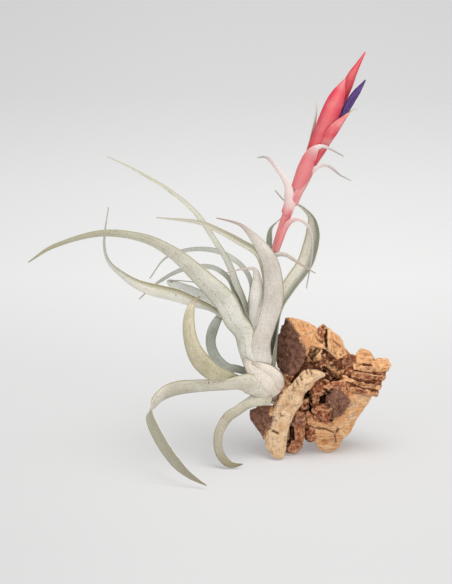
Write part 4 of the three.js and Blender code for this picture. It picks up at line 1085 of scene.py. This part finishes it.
def rod(name, curve, radii, steps, sides):
    """A round stalk: a curve with its own thickness at each point, made a mesh."""
    bpy.ops.object.select_all(action="DESELECT")
    bpy.ops.curve.primitive_bezier_curve_add()
    made = bpy.context.object
    made.name = name
    made.data.splines.clear()
    line = made.data.splines.new("POLY")
    line.points.add(steps)
    for step, point in enumerate(line.points):
        share = curve.share_at(curve.lengths[-1] * step / steps)
        point.co = (*curve.at(share), 1.0)
        point.radius = value_along(radii, step / steps)
    made.data.bevel_depth = MM
    made.data.bevel_resolution = sides // 4
    made.data.use_fill_caps = True
    bpy.ops.object.convert(target="MESH")
    bpy.ops.object.shade_smooth()
    return made


POWDER = (0.90, 0.70, 0.64)
CORAL_SUBSURFACE = {"Subsurface_Weight": 0.12, "Subsurface_Radius": (0.004, 0.0015, 0.001),
                    "Subsurface_Scale": 1.0}


def coral(name, deep, ridge_highlight, rim, powder, roughness):
    """A coral bract or stalk: deep red with a painted highlight along its middle, veined and thinly
    powdered. Its colour is handed back too, for whatever lies over it."""
    look = Look(name, roughness, specular=0.4)
    look.shade(**CORAL_SUBSURFACE)
    felted, across = scaled(look)
    from_middle = off_line(look, across, 0.5)
    sway = look.calc("SUBTRACT", felted["Lines"], 0.5)
    middle = look.calc("MULTIPLY_ADD", sway, 0.5, from_middle)
    colour = look.layers(
        deep,
        # A painted highlight along the middle of the blade.
        (middle, 0.34, 0.02, 1, ridge_highlight),
        (felted["Streaks"], 0.50, 0.32, 0.55, deep),
        (felted["Cover"], 0.48, 0.72, powder, POWDER),
        (from_middle, 0.43, 0.50, 0.8, rim),
    )
    look.shade(Base_Color=colour)
    look.bump(felted["Relief"], distance=0.10, strength=0.5)
    return look, colour


def coral_to_tip(name, deep, ridge_highlight, rim, powder, roughness, *tips):
    """A coral bract whose colour changes towards its tip. Each change has where along the bract it
    starts, where it is full, the most that it covers, and its colour."""
    look, colour = coral(name, deep, ridge_highlight, rim, powder, roughness)
    tipward = look.painted("tipward")
    look.shade(Base_Color=look.layers(colour, *((tipward, *tip) for tip in tips)))
    return look


scape_coral, _ = coral("scape_coral", (0.72, 0.17, 0.18), (0.78, 0.28, 0.27), (0.72, 0.17, 0.18),
                       powder=0.3, roughness=0.5)
scape = rod("flower_stalk", SCAPE_CURVE, SCAPE_RADII, steps=60, sides=20)
show_as(scape, scape_coral, "scape")


# Bracts clasp the bare part of the stalk. They are whitish pink and silvery with scales, and each
# ends in a grey thread.
BLUSH_SIDES = (0.74, 0.18, 0.20)
BLUSH_RIM = (0.88, 0.66, 0.60)
BLUSH_WHITE = (0.83, 0.69, 0.66)
BLUSH_THREAD = (0.47, 0.45, 0.42)
WHITE_RUN = 0.26


def blush_look(name, ridge_highlight, white_from, powder):
    return coral_to_tip(
        name, BLUSH_SIDES, ridge_highlight, BLUSH_RIM, powder, 0.55,
        (white_from, white_from + WHITE_RUN, 1, BLUSH_WHITE), (0.55, 0.90, 1, BLUSH_THREAD))


blushed = blush_look("blushed_bract", (0.80, 0.32, 0.31), 0.24, 0.35)
whitish = blush_look("whitish_bract", (0.80, 0.32, 0.31), 0.06, 0.7)
salmon = blush_look("salmon_bract", (0.80, 0.23, 0.24), 0.32, 0.08)

SCAPE_BRACTS = [
    (blushed, dict(seat=44, side=300, sheath=3, slope=0.1, stations=[(-14, 155.2, -8.4, 4.8, -155),
     (-10.4, 159.8, -9.4, 4.4, -145), (-6.1, 161.5, -10, 4, -140), (-2.2, 160.3, -10.4, 3.6, -135),
     (1.2, 157.2, -10.8, 3.1, -130), (3.2, 152.4, -11.4, 2.6, -125), (4.4, 142, -12.4, 2.2, -120),
     (2.8, 128, -13.4, 1.8, -120), (0.2, 113.6, -14, 0.8, -110)])),
    (whitish, dict(seat=72, side=240, sheath=8, slope=0.08, stations=[(-12, 183, -9.4, 6, 168),
     (-15, 189.6, -9.8, 4.4, 158), (-19.4, 195.8, -10, 3.7, 148), (-23.8, 201.4, -10, 3.4, 142),
     (-26.8, 204.4, -10, 2.8, 138), (-30.1, 205, -10, 2, 130), (-33.8, 204.2, -10, 0.8, 120)])),
    (blushed, dict(seat=80, side=320, sheath=8, slope=0.06, stations=[(1.8, 190, -9, 5.2, -152),
     (5.6, 195.6, -9.6, 4, -145), (9.8, 198.4, -10, 3.6, -138), (14, 199, -10.2, 3.3, -135),
     (18.4, 196.8, -10.4, 2.8, -130), (23.4, 192.6, -10.4, 2, -120), (31.8, 188.2, -10.4, 0.8, -110)])),
    (salmon, dict(seat=92, side=262, sheath=14, reach=1.45, slope=0.12,
     stations=[(2.6, 204.4, -12, 9.8, 180), (5.6, 209.4, -13.6, 6.6, 180), (8.4, 211.8, -14.4, 3.8, -175),
     (11.9, 212.3, -14.6, 2.8, -160), (16.8, 210.4, -14.4, 2.1, -145), (21.7, 207.8, -14.2, 1.5, -130),
     (26.8, 205, -13.6, 0.8, -120)])),
]

for number, (look, shape) in enumerate(SCAPE_BRACTS, 1):
    bract = blade(f"stalk_bract_{number}", SCAPE_CURVE, SCAPE_RADII, shape)
    show_as(bract, look, f"scape_bract_{number}")


# The spike is a few broad coral bracts, rolled round each other and glossy, deeper red towards
# their tips. One holds the open flower.
SPIKE_SIDES = (0.64, 0.04, 0.08)
# The spike's bracts get a painted highlight along their middles.
SPIKE_RIDGE_HIGHLIGHT = (0.81, 0.155, 0.165)
SPIKE_RIM = (0.60, 0.045, 0.085)
SPIKE_DEEP = (0.62, 0.04, 0.06)
CURLED_TIP = (0.74, 0.62, 0.48)


def spike_look(name, deep_to, light_from, curled=0.0):
    """A bract of the spike, with a pale powdered tip where that is curled over."""
    return coral_to_tip(
        name, SPIKE_SIDES, SPIKE_RIDGE_HIGHLIGHT, SPIKE_RIM, 0.22 + 0.4 * curled, 0.38,
        (light_from, deep_to, 0.65, SPIKE_DEEP), (0.62, 0.82, curled, CURLED_TIP))


spike_coral = spike_look("spike_coral", 0.20, 0.55)
top_coral = spike_look("top_coral", 0.55, 0.80)
curled_coral = spike_look("curled_coral", 0.20, 0.55, curled=1.0)

# The thin bract at the left is withered: brown at its foot, with a silvery tip.
withered = coral_to_tip("withered_bract", (0.60, 0.26, 0.20), (0.66, 0.38, 0.30), (0.62, 0.40, 0.32),
                        0.5, 0.6, (0.40, 0.85, 1, (0.66, 0.60, 0.50)))

FLORAL_BRACTS = [
    (spike_coral, dict(seat=110, side=258, sheath=3, slope=0.1, curl=1.25,
     stations=[(9.8, 218, -12.2, 11.6, 180), (13.4, 227, -13, 12.8, 180), (17.2, 235.6, -13.4, 13.4, 180),
     (20.6, 243.8, -12.8, 12.4, 178), (23.2, 250.2, -11.6, 9.2, 175), (25.2, 255, -10.4, 4.6, 172),
     (27.4, 259.2, -9.2, 0.9, 170)])),
    (curled_coral, dict(seat=106, side=320, sheath=3, slope=0.1, curl=0.75,
     stations=[(12.2, 212, -11.4, 8.6, -160), (17.4, 220.6, -14, 9, -160), (22.8, 227.4, -13.6, 7, -158),
     (27.5, 232.4, -10.6, 3.6, -150), (31.2, 236.2, -7, 1.9, -130), (34, 238.2, -5.4, 1.3, -120),
     (35.6, 237.6, -4.4, 0.8, -110)])),
    (top_coral, dict(seat=122, side=290, sheath=3, slope=0.15, curl=1.2,
     stations=[(20.6, 238, -4, 8, 178), (24.6, 246, -4.6, 8.4, 178), (28.8, 254.6, -5, 7.8, 178),
     (32.2, 262.2, -5, 6.1, 175), (36, 268.8, -5, 3.7, 172), (38.8, 273.6, -4.6, 2.3, 170),
     (41.4, 278, -4, 0.9, 170)])),
    (withered, dict(seat=103, side=195, sheath=4, slope=0.1, stations=[(3, 215, -5, 5.2, 45),
     (4.8, 223.6, -5, 3.4, 40), (6.4, 231, -5, 2.3, 40), (7.3, 237.4, -4.6, 1.5, 40),
     (7, 243.8, -4, 0.8, 40)])),
    (spike_coral, dict(seat=108, side=95, sheath=4, slope=0.1, curl=1.1,
     stations=[(11, 219.6, 0.2, 9.6, 0), (14.6, 229, 0.6, 11, 0), (19, 239, 0.2, 10, 0),
     (23.4, 248.6, -0.8, 6, 0), (27, 256.6, -2, 1.2, 0)])),
]

for number, (look, shape) in enumerate(FLORAL_BRACTS, 1):
    bract = blade(f"spike_bract_{number}", SCAPE_CURVE, SCAPE_RADII, shape)
    show_as(bract, look, f"floral_bract_{number}")


# The open flower is a tube of three violet petals, each rolled half over the next, drawn to a
# point. It comes out between the front bract and the top one.
FLOWER_CURVE = Curve([spot(*place) for place in (
    (21, 226, -5.4), (26.4, 235.6, -7), (31.6, 244.2, -7.4), (36.6, 251.4, -7.4), (41.4, 258.4, -7))])
FLOWER_RADII = (2, 2.8, 3.1, 2.6, 0.5)
FLOWER_STEPS = 48
PETALS = 3
PETAL_LAP = 0.16
PETAL_TURNS = 0.35

flower = rod("open_flower", FLOWER_CURVE, FLOWER_RADII, FLOWER_STEPS, sides=48)
steps = [step / FLOWER_STEPS for step in range(FLOWER_STEPS + 1)]
for vertex in flower.data.vertices:
    share = min(steps, key=lambda one: (FLOWER_CURVE.at(one) - vertex.co).length)
    centre = FLOWER_CURVE.at(share)
    heading = FLOWER_CURVE.heading(share)
    out = vertex.co - centre
    angle = math.atan2(out.dot(out_from(heading, 90)), out.dot(out_from(heading, 0)))
    lap = (PETALS * (angle / math.tau + PETAL_TURNS * share)) % 1.0
    vertex.co = centre + out * (1 - PETAL_LAP * lap)

violet = Look("petal_violet", roughness=0.4, specular=0.4)
violet.shade(Subsurface_Weight=0.1, Subsurface_Radius=(0.001, 0.0006, 0.002), Subsurface_Scale=1.0)
veining = violet.noise(violet.add("TexCoord").outputs["Object"], (1500, 1500, 260), 3.0, 0.6)
violet.shade(Base_Color=violet.layers((0.045, 0.018, 0.115), (veining, 0.35, 0.65, 1, (0.12, 0.055, 0.23))))
violet.bump(veining, distance=0.12, strength=0.5)
show_as(flower, violet, "flower")
